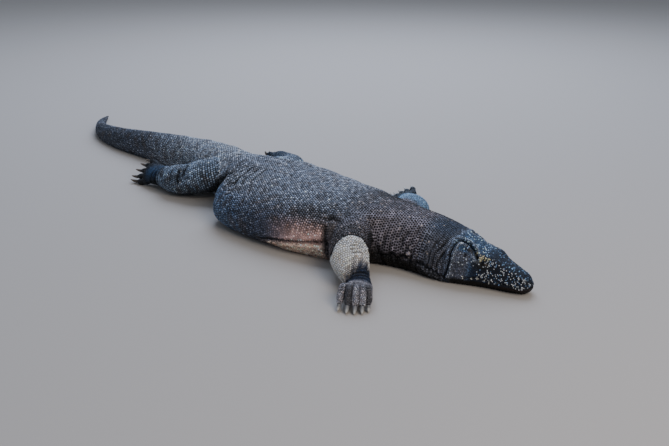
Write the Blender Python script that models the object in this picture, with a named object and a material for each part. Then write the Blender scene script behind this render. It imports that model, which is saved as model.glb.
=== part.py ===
"""Komodo dragon resting flat on its belly, life size: a still model, in metres, +Z up, head towards +X.

The body is one long loft along a curved midline, divided by thin cuts into head, neck, trunk and tail.
Each leg is a loft through its joints, trimmed where it meets the body, and ends in a palm with five
toes and five separate claws. Everything that touches the ground is flat there, at height zero.
"""

import math

import bmesh
import bpy
from mathutils import Vector

# Cuts between neighbouring pieces.
CUT = 0.0004
BODY_CLEARANCE = 0.0005

# Midline of the body seen from above, from the snout to the tip of the tail: (x, y) before the whole
# animal is centred. The hips are at x = 0 and the left side is +Y.
MIDLINE = (
    (1.080, 0.042),
    (1.000, 0.035),
    (0.880, 0.027),
    (0.780, 0.024),
    (0.680, 0.012),
    (0.550, -0.010),
    (0.400, -0.022),
    (0.200, -0.018),
    (0.000, 0.010),
    (-0.180, 0.050),
    (-0.350, 0.072),
    (-0.550, 0.070),
    (-0.750, 0.058),
    (-0.920, 0.078),
    (-1.040, 0.132),
    (-1.130, 0.200),
    (-1.215, 0.275),
)

# The body's girth at stations along the midline, each by its distance from the snout:
# (distance, half width, top height, height of the widest place, depth of the underside below that,
#  fullness of the upper half, fullness of the lower half). A fullness of 2 is an ellipse.
GIRTH = (
    (0.000, 0.006, 0.030, 0.024, 0.010, 2.0, 2.0),
    (0.004, 0.017, 0.040, 0.024, 0.018, 2.1, 2.1),
    (0.015, 0.027, 0.050, 0.024, 0.022, 2.3, 2.3),
    (0.040, 0.035, 0.062, 0.026, 0.027, 2.5, 2.5),
    (0.075, 0.043, 0.075, 0.028, 0.031, 2.9, 2.6),
    (0.105, 0.051, 0.088, 0.032, 0.036, 3.2, 2.7),
    (0.145, 0.064, 0.101, 0.034, 0.041, 2.8, 2.8),
    (0.178, 0.075, 0.110, 0.033, 0.043, 2.5, 3.0),
    (0.205, 0.084, 0.118, 0.033, 0.045, 2.3, 3.0),
    (0.260, 0.095, 0.130, 0.036, 0.050, 2.1, 2.9),
    (0.320, 0.098, 0.138, 0.042, 0.058, 2.1, 2.7),
    (0.400, 0.110, 0.143, 0.048, 0.066, 2.1, 2.6),
    (0.460, 0.138, 0.145, 0.052, 0.074, 2.1, 2.5),
    (0.540, 0.172, 0.150, 0.048, 0.070, 2.1, 2.6),
    (0.690, 0.198, 0.159, 0.050, 0.072, 2.1, 2.6),
    (0.850, 0.207, 0.161, 0.050, 0.072, 2.1, 2.6),
    (0.915, 0.194, 0.160, 0.052, 0.074, 2.1, 2.6),
    (0.960, 0.163, 0.158, 0.052, 0.072, 2.0, 2.6),
    (0.996, 0.118, 0.157, 0.054, 0.072, 2.0, 2.5),
    (1.040, 0.090, 0.156, 0.060, 0.076, 2.1, 2.3),
    (1.110, 0.086, 0.154, 0.062, 0.074, 2.1, 2.4),
    (1.230, 0.082, 0.145, 0.054, 0.066, 2.1, 2.4),
    (1.400, 0.067, 0.125, 0.044, 0.054, 2.0, 2.4),
    (1.600, 0.054, 0.105, 0.037, 0.045, 1.9, 2.4),
    (1.800, 0.042, 0.086, 0.030, 0.037, 1.9, 2.4),
    (2.000, 0.031, 0.066, 0.023, 0.029, 1.9, 2.3),
    (2.160, 0.021, 0.045, 0.016, 0.020, 1.9, 2.2),
    (2.300, 0.010, 0.025, 0.010, 0.012, 2.0, 2.0),
    (2.380, 0.005, 0.011, 0.005, 0.006, 2.0, 2.0),
)

# Where the body is divided, as distances from the snout, with how far apart the rings of each length are.
HEAD_END = 0.205
NECK_END = 0.430
TRUNK_END = 1.110
TAIL_CUTS = (1.620, 2.040)
TAIL_END = 2.378
HEAD_RING_STEP = 0.0120
NECK_RING_STEP = 0.030
TRUNK_RING_STEP = 0.040
TAIL_RING_STEP = 0.052
HEAD_SIDES = 28
BODY_SIDES = 22
TAIL_SIDES = 16

# Head. Distances are from the snout, heights from the ground.
CROWN_TAPER = 0.24
EYE_DISTANCE = 0.112
EYE_SIDE = 0.0350
EYE_HEIGHT = 0.0620
EYE_RADIUS = 0.0088
SOCKET_CLEARANCE = 0.0004
MOUTH_GAP = 0.0008
MOUTH_LINE = (
    (-0.020, 0.0225),
    (0.010, 0.0215),
    (0.045, 0.0250),
    (0.085, 0.0255),
    (0.120, 0.0310),
    (0.140, 0.0290),
    (0.170, 0.0120),
    (0.186, -0.010),
)

# Toes are counted from the inner side: (sideways place of the root on the palm, splay in degrees,
# length). Sideways is a share of the palm's half width.
HAND_TOES = (
    (0.78, 5.0, 0.034),
    (0.40, 3.0, 0.044),
    (0.00, 0.0, 0.048),
    (-0.42, -4.0, 0.046),
    (-0.86, -10.0, 0.038),
)
FOOT_TOES = (
    (0.84, 12.0, 0.020),
    (0.44, 6.0, 0.030),
    (0.00, 0.0, 0.037),
    (-0.44, -6.0, 0.040),
    (-0.88, -16.0, 0.026),
)
TOE_ROOT_RADIUS = 0.0108
TOE_TIP_RADIUS = 0.0074
TOE_ROOT_HEIGHT = 0.0130
TOE_TIP_HEIGHT = 0.0095
CLAW_LENGTH = 0.031
CLAW_ROOT_RADIUS = 0.0062
CLAW_TIP_RADIUS = 0.0014
TOE_SIDES = 8
CLAW_SIDES = 6
LIMB_SIDES = 12


# ---------------------------------------------------------------------------
# Interpolation along tables and routes
# ---------------------------------------------------------------------------
def read_table(table, place):
    """The row of a table at a place along its first column, on a smooth curve that never overshoots."""
    place = min(max(place, table[0][0]), table[-1][0])
    index = 0
    while index < len(table) - 2 and place > table[index + 1][0]:
        index += 1
    before, after = table[index], table[index + 1]
    span = after[0] - before[0]
    share = (place - before[0]) / span
    values = []
    for column in range(1, len(before)):
        start_slope = slope_at(table, index, column)
        end_slope = slope_at(table, index + 1, column)
        s2, s3 = share * share, share**3
        values.append(
            (2 * s3 - 3 * s2 + 1) * before[column]
            + (s3 - 2 * s2 + share) * span * start_slope
            + (3 * s2 - 2 * s3) * after[column]
            + (s3 - s2) * span * end_slope
        )
    return values


def slope_at(table, index, column):
    """The slope of a column at a row: the harmonic mean of its two sides, or zero at a peak."""
    if index == 0 or index == len(table) - 1:
        near = 1 if index == 0 else index
        return (table[near][column] - table[near - 1][column]) / (table[near][0] - table[near - 1][0])
    left = (table[index][column] - table[index - 1][column]) / (table[index][0] - table[index - 1][0])
    right = (table[index + 1][column] - table[index][column]) / (table[index + 1][0] - table[index][0])
    if left * right <= 0:
        return 0.0
    return 2 * left * right / (left + right)


def smooth_route(points, pieces=24):
    """A smooth route through the points, as a list of close points: a Catmull-Rom curve."""
    guarded = [2 * points[0] - points[1], *points, 2 * points[-1] - points[-2]]
    route = []
    for i in range(1, len(guarded) - 2):
        a, b, c, d = guarded[i - 1 : i + 3]
        for step in range(pieces):
            t = step / pieces
            route.append(
                0.5
                * (
                    2 * b
                    + (c - a) * t
                    + (2 * a - 5 * b + 4 * c - d) * t**2
                    + (3 * b - a - 3 * c + d) * t**3
                )
            )
    route.append(points[-1].copy())
    return route


def walk(route, distance):
    """The point and the heading on a route, at a distance from its start. The heading turns smoothly."""
    gone = 0.0
    for i in range(len(route) - 1):
        step = (route[i + 1] - route[i]).length
        if gone + step >= distance or i == len(route) - 2:
            share = (distance - gone) / step
            place = route[i].lerp(route[i + 1], share)
            before = route[i + 1] - route[max(i - 1, 0)]
            after = route[min(i + 2, len(route) - 1)] - route[i]
            return place, before.normalized().lerp(after.normalized(), share).normalized()
        gone += step


def route_length(route):
    return sum((b - a).length for a, b in zip(route, route[1:]))


def spread(start, end, step):
    """Places from start to end, evenly spaced, about a step apart."""
    count = max(2, round((end - start) / step))
    return [start + (end - start) * i / count for i in range(count + 1)]


# ---------------------------------------------------------------------------
# Making solids
# ---------------------------------------------------------------------------
def finish_mesh(name, bm, material, collection):
    bmesh.ops.recalc_face_normals(bm, faces=bm.faces)
    mesh = bpy.data.meshes.new(name)
    bm.to_mesh(mesh)
    bm.free()
    mesh.materials.append(material)
    mesh.shade_smooth()
    mesh.set_sharp_from_angle(angle=math.radians(50))
    obj = bpy.data.objects.new(name, mesh)
    collection.objects.link(obj)
    return obj


def loft(name, rings, material, collection):
    """A closed solid through rings that all have the same number of points, closed at both ends.

    Every four-sided patch is split the same way, and each end is a fan about its middle, so two
    pieces made from neighbouring rings meet along the same shape.
    """
    bm = bmesh.new()
    made = [[bm.verts.new(point) for point in ring] for ring in rings]
    sides = len(made[0])
    for near, far in zip(made, made[1:]):
        for i in range(sides):
            j = (i + 1) % sides
            bm.faces.new((near[i], near[j], far[j]))
            bm.faces.new((near[i], far[j], far[i]))
    for ring in (made[0], made[-1]):
        middle = bm.verts.new(sum((vert.co for vert in ring), Vector()) / sides)
        for i in range(sides):
            bm.faces.new((middle, ring[i], ring[(i + 1) % sides]))
    return finish_mesh(name, bm, material, collection)


def hide_as_cutter(obj):
    obj.hide_render = True
    obj.display_type = "WIRE"
    return obj


def boolean(obj, other, operation):
    modifier = obj.modifiers.new(f"{operation.lower()} {other.name}", "BOOLEAN")
    modifier.operation = operation
    modifier.solver = "EXACT"
    modifier.object = other


# ---------------------------------------------------------------------------
# The body
# ---------------------------------------------------------------------------
def signed_power(value, power):
    return math.copysign(abs(value) ** power, value)


def bump(value, centre, width):
    """A smooth hill of height 1 at the centre, about two widths across."""
    return math.exp(-(((value - centre) / width) ** 2))


def head_relief(distance, angle):
    """How far the head's surface stands out from its plain loft: brows, jaw muscles, ears and muzzle."""
    side = abs(math.cos(angle))
    up = math.sin(angle)
    brow = 0.0065 * bump(distance, 0.102, 0.020) * bump(up, 0.80, 0.16) * bump(side, 0.6, 0.35)
    eye_hollow = -0.0045 * bump(distance, EYE_DISTANCE, 0.014) * bump(up, 0.52, 0.14)
    cheek = 0.0050 * bump(distance, 0.160, 0.026) * bump(up, 0.15, 0.45)
    ear = -0.0050 * bump(distance, 0.152, 0.009) * bump(up, 0.72, 0.14)
    nostril = 0.0025 * bump(distance, 0.020, 0.010) * bump(up, 0.62, 0.25)
    lip = 0.0022 * bump(up, -0.12, 0.22) * bump(distance, 0.06, 0.07)
    nape_dip = -0.0030 * bump(distance, 0.136, 0.018) * bump(up, 1.0, 0.25)
    return brow + eye_hollow + cheek + ear + nostril + lip + nape_dip


def body_ring(distance, sides, grow=0.0):
    """One cross-section of the body: a rounded outline, flat where it would go below the ground."""
    centre, heading = walk(BODY_ROUTE, distance)
    left = Vector((heading.y, -heading.x, 0))
    half_width, top, widest, depth, upper, lower = read_table(GIRTH, distance)
    head_share = min(max((HEAD_END - distance) / 0.05, 0.0), 1.0)
    ring = []
    for i in range(sides):
        angle = 2 * math.pi * i / sides
        fullness = upper if math.sin(angle) >= 0 else lower
        across = signed_power(math.cos(angle), 2 / fullness)
        up = signed_power(math.sin(angle), 2 / fullness)
        rise = top - widest if up >= 0 else depth
        relief = head_share * head_relief(distance, angle) + grow
        across *= 1 - CROWN_TAPER * head_share * max(up, 0.0)
        outwards = Vector((across * half_width, up * rise))
        outwards += outwards.normalized() * relief
        height = widest + outwards.y
        floor = -10 * grow
        point = centre + left * outwards.x
        ring.append(Vector((point.x, point.y, max(height, floor))))
    return ring


def clear_space(name, places, sides, material, cutters):
    """A slightly larger copy of one length of the body, which trims the legs where they meet it."""
    rings = [body_ring(p, sides, BODY_CLEARANCE) for p in places]
    ends = ((rings[0], places[0], places[0] - CUT), (rings[-1], places[-1], places[-1] + CUT))
    for ring, place, beyond in ends:
        shift = walk(BODY_ROUTE, beyond)[0] - walk(BODY_ROUTE, place)[0]
        for point in ring:
            point += shift
    return hide_as_cutter(loft(f"clear_of_{name}", rings, material, cutters))


def snout_places():
    """Ring places for the head: close together at the rounded tip of the snout."""
    tip = [0.0003, 0.0012, 0.0030, 0.0060, 0.0105]
    return tip + spread(0.016, HEAD_END - CUT / 2, HEAD_RING_STEP)


def jaw_block(name, lift, collection, material):
    """A block that holds everything below the mouth line, for parting the lower jaw from the head."""
    back = walk(BODY_ROUTE, 0.10)[1]
    left = Vector((back.y, -back.x, 0))
    tip = BODY_ROUTE[0]
    half_width = 0.12
    line = spread(MOUTH_LINE[0][0], MOUTH_LINE[-1][0], 0.008)
    outline = [(x, read_table(MOUTH_LINE, x)[0] + lift) for x in line]
    outline += [(outline[-1][0], -0.03), (outline[0][0], -0.03)]
    rings = []
    for side in (-half_width, half_width):
        rings.append([tip + back * x + left * side + Vector((0, 0, z)) for x, z in outline])
    return hide_as_cutter(loft(name, rings, material, collection))


def eyeball(name, side, radius, material, collection):
    """A ball at the eye's place; side is 1 for the left eye and -1 for the right one."""
    centre, heading = walk(BODY_ROUTE, EYE_DISTANCE)
    left = Vector((heading.y, -heading.x, 0))
    place = centre + left * (side * EYE_SIDE) + Vector((0, 0, EYE_HEIGHT))
    bm = bmesh.new()
    bmesh.ops.create_uvsphere(bm, u_segments=12, v_segments=8, radius=radius)
    obj = finish_mesh(name, bm, material, collection)
    obj.location = place
    return obj


def make_head(paint, parts, cutters):
    rings = [body_ring(p, HEAD_SIDES) for p in snout_places()]
    head = loft("head", rings, paint["dark_hide"], parts)
    jaw = loft("lower_jaw", rings, paint["dark_hide"], parts)
    boolean(head, jaw_block("above_mouth", MOUTH_GAP / 2, cutters, paint["dark_hide"]), "DIFFERENCE")
    boolean(jaw, jaw_block("below_mouth", -MOUTH_GAP / 2, cutters, paint["dark_hide"]), "INTERSECT")
    for side, word in ((1, "left"), (-1, "right")):
        eyeball(f"eye_{word}", side, EYE_RADIUS, paint["eye"], parts)
        socket = eyeball(f"socket_{word}", side, EYE_RADIUS + SOCKET_CLEARANCE, paint["eye"], cutters)
        boolean(head, hide_as_cutter(socket), "DIFFERENCE")


def make_body(paint, parts, cutters):
    """Neck, trunk and tail. Returns what trims the front legs and what trims the hind legs."""
    lengths = (
        ("neck", HEAD_END, NECK_END, NECK_RING_STEP, BODY_SIDES),
        ("trunk", NECK_END, TRUNK_END, TRUNK_RING_STEP, BODY_SIDES),
        ("tail_base", TRUNK_END, TAIL_CUTS[0], TAIL_RING_STEP, TAIL_SIDES),
        ("tail_middle", TAIL_CUTS[0], TAIL_CUTS[1], TAIL_RING_STEP, TAIL_SIDES),
        ("tail_end", TAIL_CUTS[1], TAIL_END, TAIL_RING_STEP, TAIL_SIDES),
    )
    spaces = {}
    for name, start, end, step, sides in lengths:
        places = spread(start + CUT / 2, end - CUT / 2, step)
        loft(name, [body_ring(p, sides) for p in places], paint["hide"], parts)
        if name in ("neck", "trunk", "tail_base"):
            spaces[name] = clear_space(name, places, sides, paint["hide"], cutters)
    return (spaces["neck"], spaces["trunk"]), (spaces["trunk"], spaces["tail_base"])


# ---------------------------------------------------------------------------
# The legs
# ---------------------------------------------------------------------------
def limb_frame(heading, roll):
    """The sideways and upwards directions of a limb. Roll, in degrees, lifts its right side."""
    across = heading.cross(Vector((0, 0, 1))).normalized()
    up = across.cross(heading).normalized()
    turn = math.radians(roll)
    tilted = across * math.cos(turn) + up * math.sin(turn)
    return tilted, tilted.cross(heading).normalized()


def limb_ring(centre, heading, half_width, half_height, sides, roll=0.0):
    """One cross-section of a leg, square to its heading, flat where it would go below the ground."""
    across, up = limb_frame(heading, roll)
    ring = []
    for i in range(sides):
        angle = 2 * math.pi * i / sides
        point = centre + across * (half_width * math.cos(angle)) + up * (half_height * math.sin(angle))
        point.z = max(point.z, 0.0)
        ring.append(point)
    return ring


def limb_length(name, route, radii, start, end, step, material, collection, roll=(0.0, 0.0)):
    """One length of a leg between two distances along its route. Radii is a table by distance.

    Roll is the limb's roll at its start and at its end; it turns evenly from one to the other.
    """
    rings = []
    for place in spread(start, end, step):
        centre, heading = walk(route, place)
        share = (place - start) / (end - start)
        turn = roll[0] + (roll[1] - roll[0]) * share
        rings.append(limb_ring(centre, heading, *read_table(radii, place), LIMB_SIDES, turn))
    return loft(name, rings, material, collection)


def toe_route(root, direction, length, up, arch, drop):
    """A toe's middle line: it leaves the palm, arches a little and comes down to its tip."""
    middle = root + direction * (length * 0.5) + up * arch
    end = root + direction * length
    end.z = max(end.z - drop, TOE_TIP_HEIGHT)
    return smooth_route([root, middle, end], 6)


def claw_rings(root, direction, towards, curl, roll):
    """A claw: it leaves the toe along its direction and curls towards the sole by so many degrees."""
    steps = 4
    rings = []
    place = root.copy()
    for i in range(steps + 1):
        share = i / steps
        turn = math.radians(curl) * share
        heading = (direction * math.cos(turn) + towards * math.sin(turn)).normalized()
        radius = CLAW_ROOT_RADIUS + (CLAW_TIP_RADIUS - CLAW_ROOT_RADIUS) * share**1.9
        rings.append(limb_ring(place, heading, radius * 0.78, radius, CLAW_SIDES, roll))
        place = place + heading * (CLAW_LENGTH / steps)
        place.z = max(place.z, radius)
    return rings


def make_paw(limb, word, route, wrist, sizes, toes, paint, parts, cutters):
    """A palm or sole from the wrist to the end of the leg's route, with five toes joined to it and
    five claws in front. Wrist is a distance along the route.

    limb["inner"] is 1 where the inner toe is on the left of the paw's heading and -1 where it is on
    the right. limb["sole_up"] is true for a paw that lies on its back, and limb["roll"] is by how
    many degrees its inner edge is lifted off the ground.
    """
    name = f"{word}_{limb['side']}"
    inner = limb["inner"]
    roll = -inner * limb["roll"]
    knuckles_at = route_length(route)
    knuckles, heading = walk(route, knuckles_at)
    right, up = limb_frame(heading, roll)
    towards_sole = up if limb["sole_up"] else -up
    table = [(wrist + distance, width, height) for distance, width, height in sizes]
    skin = paint["dark_hide"]
    palm = limb_length(
        name, route, table, wrist + CUT / 2, knuckles_at, 0.014, skin, parts, (0.0, roll)
    )
    palm_half_width = sizes[-1][1]
    for number, (sideways, splay, length) in enumerate(toes, start=1):
        angle = math.radians(splay * inner)
        direction = heading * math.cos(angle) - right * math.sin(angle)
        root = knuckles - heading * 0.016 - right * (sideways * palm_half_width * inner)
        root.z = max(root.z, TOE_ROOT_HEIGHT)
        line = toe_route(root, direction, length + 0.016, up, limb["arch"], limb["drop"])
        whole = route_length(line)
        radii = (
            (0.0, TOE_ROOT_RADIUS, TOE_ROOT_RADIUS),
            (whole * 0.45, TOE_ROOT_RADIUS * 0.80, TOE_ROOT_RADIUS * 0.86),
            (whole * 0.72, TOE_ROOT_RADIUS * 0.86, TOE_ROOT_RADIUS * 0.90),
            (whole, TOE_TIP_RADIUS * 0.92, TOE_TIP_RADIUS),
        )
        rings = []
        for place in spread(0.0, whole, whole / 4):
            centre, along = walk(line, place)
            rings.append(limb_ring(centre, along, *read_table(radii, place), TOE_SIDES, roll))
        toe = loft(f"toe_{name}_{number}", rings, skin, cutters)
        boolean(palm, hide_as_cutter(toe), "UNION")
        end, along = walk(line, whole)
        rings = claw_rings(end + along * CUT, along, towards_sole, limb["curl"], roll)
        loft(f"claw_{name}_{number}", rings, paint["horn"], parts)


def make_leg(limb, words, sizes, toes, paint, parts, cutters, clearances):
    """A whole leg: two lengths through its joints, trimmed where they meet the body, then the paw."""
    joints = [Vector(point) for point in limb["joints"]]
    route = smooth_route(joints)
    bend = limb_distance(route, joints[2])
    wrist = limb_distance(route, joints[3])
    table = [(share * wrist, width, height) for share, width, height in sizes["leg"]]
    upper_word, lower_word, paw_word = words
    upper = limb_length(
        f"{upper_word}_{limb['side']}", route, table, 0.0, bend - CUT / 2, 0.020, limb["paint"], parts
    )
    lower = limb_length(
        f"{lower_word}_{limb['side']}",
        route,
        table,
        bend + CUT / 2,
        wrist - CUT / 2,
        0.020,
        limb["paint"],
        parts,
    )
    for clearance in clearances:
        boolean(upper, clearance, "DIFFERENCE")
        boolean(lower, clearance, "DIFFERENCE")
    make_paw(limb, paw_word, route, wrist, sizes["paw"], toes, paint, parts, cutters)


def limb_distance(route, point):
    """How far along a route the place nearest a point is."""
    gone, best, found = 0.0, 1e9, 0.0
    for start, end in zip(route, route[1:]):
        away = (start - point).length
        if away < best:
            best, found = away, gone
        gone += (end - start).length
    return found


# Leg sizes: (share of the way, half width, half height); paw sizes: (distance, half width, half height).
FORE_SIZES = {
    "leg": (
        (0.00, 0.062, 0.052),
        (0.30, 0.052, 0.047),
        (0.55, 0.054, 0.050),
        (0.75, 0.048, 0.043),
        (1.00, 0.034, 0.027),
    ),
    "paw": ((0.0, 0.033, 0.0255), (0.030, 0.036, 0.021), (0.075, 0.034, 0.016)),
}
HIND_SIZES = {
    "leg": (
        (0.00, 0.056, 0.052),
        (0.30, 0.057, 0.054),
        (0.55, 0.051, 0.050),
        (0.78, 0.044, 0.044),
        (1.00, 0.039, 0.039),
    ),
    "paw": ((0.0, 0.038, 0.037), (0.035, 0.041, 0.030), (0.090, 0.040, 0.022)),
}


def leg_poses(paint):
    """The four legs as they lie, each by its joints: root, bends, wrist or ankle, knuckles."""
    return {
        "fore": (
            {
                "side": "right",
                "joints": (
                    (0.602, -0.050, 0.085),
                    (0.634, -0.124, 0.080),
                    (0.688, -0.200, 0.062),
                    (0.765, -0.250, 0.028),
                    (0.793, -0.287, 0.034),
                ),
                "inner": 1,
                "sole_up": False,
                "roll": 0.0,
                "arch": 0.008,
                "drop": 0.026,
                "curl": 52.0,
                "paint": paint["pale_hide"],
            },
            {
                "side": "left",
                "joints": (
                    (0.615, 0.050, 0.078),
                    (0.602, 0.140, 0.060),
                    (0.560, 0.222, 0.038),
                    (0.480, 0.300, 0.026),
                    (0.442, 0.332, 0.023),
                ),
                "inner": 1,
                "sole_up": True,
                "roll": -25.0,
                "arch": 0.002,
                "drop": 0.004,
                "curl": 62.0,
                "paint": paint["pale_hide"],
            },
        ),
        "hind": (
            {
                "side": "right",
                "joints": (
                    (-0.010, -0.010, 0.088),
                    (-0.062, -0.070, 0.075),
                    (-0.146, -0.112, 0.052),
                    (-0.243, -0.111, 0.041),
                    (-0.320, -0.117, 0.041),
                ),
                "inner": -1,
                "sole_up": True,
                "roll": 48.0,
                "arch": 0.002,
                "drop": 0.004,
                "curl": 62.0,
                "paint": paint["hide"],
            },
            {
                "side": "left",
                "joints": (
                    (0.000, 0.030, 0.080),
                    (0.045, 0.135, 0.062),
                    (0.028, 0.225, 0.046),
                    (-0.078, 0.304, 0.030),
                    (-0.138, 0.328, 0.032),
                ),
                "inner": 1,
                "sole_up": True,
                "roll": 20.0,
                "arch": 0.002,
                "drop": 0.004,
                "curl": 62.0,
                "paint": paint["hide"],
            },
        ),
    }


# ---------------------------------------------------------------------------
# Putting the animal together
# ---------------------------------------------------------------------------
def new_material(name, colour, roughness):
    material = bpy.data.materials.new(name)
    material.use_nodes = True
    shader = material.node_tree.nodes["Principled BSDF"]
    shader.inputs["Base Color"].default_value = (*colour, 1)
    shader.inputs["Roughness"].default_value = roughness
    shader.inputs["Metallic"].default_value = 0.0
    material.diffuse_color = (*colour, 1)
    return material


def clear_scene():
    for obj in list(bpy.data.objects):
        bpy.data.objects.remove(obj, do_unlink=True)


def new_collection(name):
    collection = bpy.data.collections.new(name)
    bpy.context.scene.collection.children.link(collection)
    return collection


def centre_on_ground(parts, cutters):
    """Hangs all on one empty, placed so that the middle of the animal's footprint is the origin."""
    bpy.context.view_layer.update()
    graph = bpy.context.evaluated_depsgraph_get()
    corners = []
    for obj in parts.objects:
        evaluated = obj.evaluated_get(graph)
        corners += [evaluated.matrix_world @ Vector(corner) for corner in evaluated.bound_box]
    root = bpy.data.objects.new("komodo_dragon_root", None)
    parts.objects.link(root)
    root.location = (
        -(min(c.x for c in corners) + max(c.x for c in corners)) / 2,
        -(min(c.y for c in corners) + max(c.y for c in corners)) / 2,
        0,
    )
    for obj in (*parts.objects, *cutters.objects):
        if obj is not root:
            obj.parent = root


def main():
    clear_scene()
    parts = new_collection("komodo_dragon")
    cutters = new_collection("cutters")
    paint = {
        "hide": new_material("pebbled_hide", (0.125, 0.112, 0.098), 0.75),
        "dark_hide": new_material("dark_hide", (0.055, 0.058, 0.062), 0.65),
        "pale_hide": new_material("pale_hide", (0.240, 0.215, 0.185), 0.80),
        "horn": new_material("claw_horn", (0.060, 0.050, 0.042), 0.35),
        "eye": new_material("eye", (0.020, 0.014, 0.010), 0.08),
    }
    make_head(paint, parts, cutters)
    near_shoulders, near_hips = make_body(paint, parts, cutters)
    poses = leg_poses(paint)
    for limb in poses["fore"]:
        words = ("upper_arm", "forearm", "hand")
        make_leg(limb, words, FORE_SIZES, HAND_TOES, paint, parts, cutters, near_shoulders)
    for limb in poses["hind"]:
        words = ("thigh", "shank", "foot")
        make_leg(limb, words, HIND_SIZES, FOOT_TOES, paint, parts, cutters, near_hips)
    centre_on_ground(parts, cutters)


BODY_ROUTE = smooth_route([Vector((x, y, 0)) for x, y in MIDLINE])
main()
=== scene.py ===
"""Komodo dragon resting on its belly, life size: a still model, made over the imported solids.

One skin stands for all the pieces of flesh. It is a smooth version of the same body, worked over
with folds and creases, and is covered with closed bead-like scales. Claws and eyes are separate.
Sizes are in metres. The head points along +X, the animal's left is +Y, and it rests at height 0.
"""
import math

import bmesh
import bpy
import numpy as np
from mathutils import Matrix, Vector
from mathutils.bvhtree import BVHTree
from mathutils.kdtree import KDTree


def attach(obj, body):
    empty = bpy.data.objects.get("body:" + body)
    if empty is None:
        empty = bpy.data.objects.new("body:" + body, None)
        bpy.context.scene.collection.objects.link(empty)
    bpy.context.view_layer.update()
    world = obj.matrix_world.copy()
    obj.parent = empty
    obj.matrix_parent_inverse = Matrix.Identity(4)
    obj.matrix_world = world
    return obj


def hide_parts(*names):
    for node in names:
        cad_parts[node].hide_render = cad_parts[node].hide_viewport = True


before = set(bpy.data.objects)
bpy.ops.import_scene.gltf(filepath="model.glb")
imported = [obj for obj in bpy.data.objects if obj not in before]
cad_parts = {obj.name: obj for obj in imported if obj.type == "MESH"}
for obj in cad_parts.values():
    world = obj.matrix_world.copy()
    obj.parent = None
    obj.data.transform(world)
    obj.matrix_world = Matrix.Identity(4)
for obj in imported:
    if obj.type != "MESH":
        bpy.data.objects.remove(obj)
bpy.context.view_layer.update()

# ---------------------------------------------------------------------------
# Camera: a person standing off the animal's right shoulder, looking a little down on it.
# ---------------------------------------------------------------------------
CAMERA_PLACE = (2.0155, -1.6070, 0.910)
CAMERA_LENS = 43.05
CAMERA_FILM = 36.0
LOOK_DOWN = math.radians(22.0)
LOOK_ALONG = Vector((-0.68719, 0.72647, 0.0))


def new_object(name, data):
    """An object in the scene for a mesh, a lamp or a camera, at the origin and unturned."""
    obj = bpy.data.objects.new(name, data)
    bpy.context.scene.collection.objects.link(obj)
    return obj


def turn_towards(obj, way):
    """Turns a camera or a lamp to look along a direction."""
    obj.rotation_euler = way.to_track_quat("-Z", "Y").to_euler()


camera = new_object("camera", bpy.data.cameras.new("camera"))
camera.data.lens = CAMERA_LENS
camera.data.sensor_width = CAMERA_FILM
camera.location = CAMERA_PLACE
turn_towards(camera, LOOK_ALONG * math.cos(LOOK_DOWN) + Vector((0, 0, -math.sin(LOOK_DOWN))))
bpy.context.scene.camera = camera

# ---------------------------------------------------------------------------
# Stage: a plain pale studio floor, which is a painted board laid just under the animal, and wide
# soft lamps hung over it, the strongest above and behind.
# ---------------------------------------------------------------------------
FLOOR_COLOUR = "B9B1A8"
FLOOR_HALF = 30.0
FLOOR_DROP = 0.0005
SKY_COLOUR, SKY_STRENGTH = "C9D6EA", 0.42
# Name, place, what it is aimed at, width, power in watts, colour.
LAMPS = (
    ("sky_lamp", (-1.2, 2.2, 3.4), (0.1, 0, 0), 3.4, 210, "D0E0FF"),
    ("side_lamp", (3.2, -0.6, 2.2), (0.6, -0.2, 0), 1.6, 46, "FFF4E6"),
)


def linear(text):
    """A colour written as six hex digits, turned into the linear values that a shader takes."""
    values = [int(text[i : i + 2], 16) / 255 for i in (0, 2, 4)]
    return [v / 12.92 if v <= 0.04045 else ((v + 0.055) / 1.055) ** 2.4 for v in values] + [1.0]


def set_inputs(node, **inputs):
    """Sets a node's inputs, given by name or as _0, _1 and so on, to values or to other outputs."""
    for key, value in inputs.items():
        socket = node.inputs[int(key[1:]) if key[1:].isdigit() else key.replace("_", " ")]
        if isinstance(value, bpy.types.NodeSocket):
            node.id_data.links.new(value, socket)
        else:
            socket.default_value = value


def new_material(name):
    """A material with its tree and its Principled shader."""
    material = bpy.data.materials.new(name)
    material.use_nodes = True
    return material, material.node_tree, material.node_tree.nodes["Principled BSDF"]


h = FLOOR_HALF
floor_mesh = bpy.data.meshes.new("floor")
floor_mesh.from_pydata([(-h, -h, 0), (h, -h, 0), (h, h, 0), (-h, h, 0)], [], [(0, 1, 2, 3)])
floor = new_object("floor", floor_mesh)
floor.location.z = -FLOOR_DROP
# Matt wall paint: it has no gloss, so the shadow under the animal stays soft.
material, tree, shader = new_material("matt_floor_paint")
set_inputs(shader, Base_Color=linear(FLOOR_COLOUR), Roughness=0.9)
floor_mesh.materials.append(material)

for name, place, target, size, power, colour in LAMPS:
    light = bpy.data.lights.new(name, "AREA")
    light.size = size
    light.energy = power
    light.color = linear(colour)[:3]
    lamp = new_object(name, light)
    lamp.location = place
    turn_towards(lamp, Vector(target) - Vector(place))
world = bpy.data.worlds.new("studio")
world.use_nodes = True
set_inputs(world.node_tree.nodes["Background"], Color=linear(SKY_COLOUR), Strength=SKY_STRENGTH)
bpy.context.scene.world = world

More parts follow.
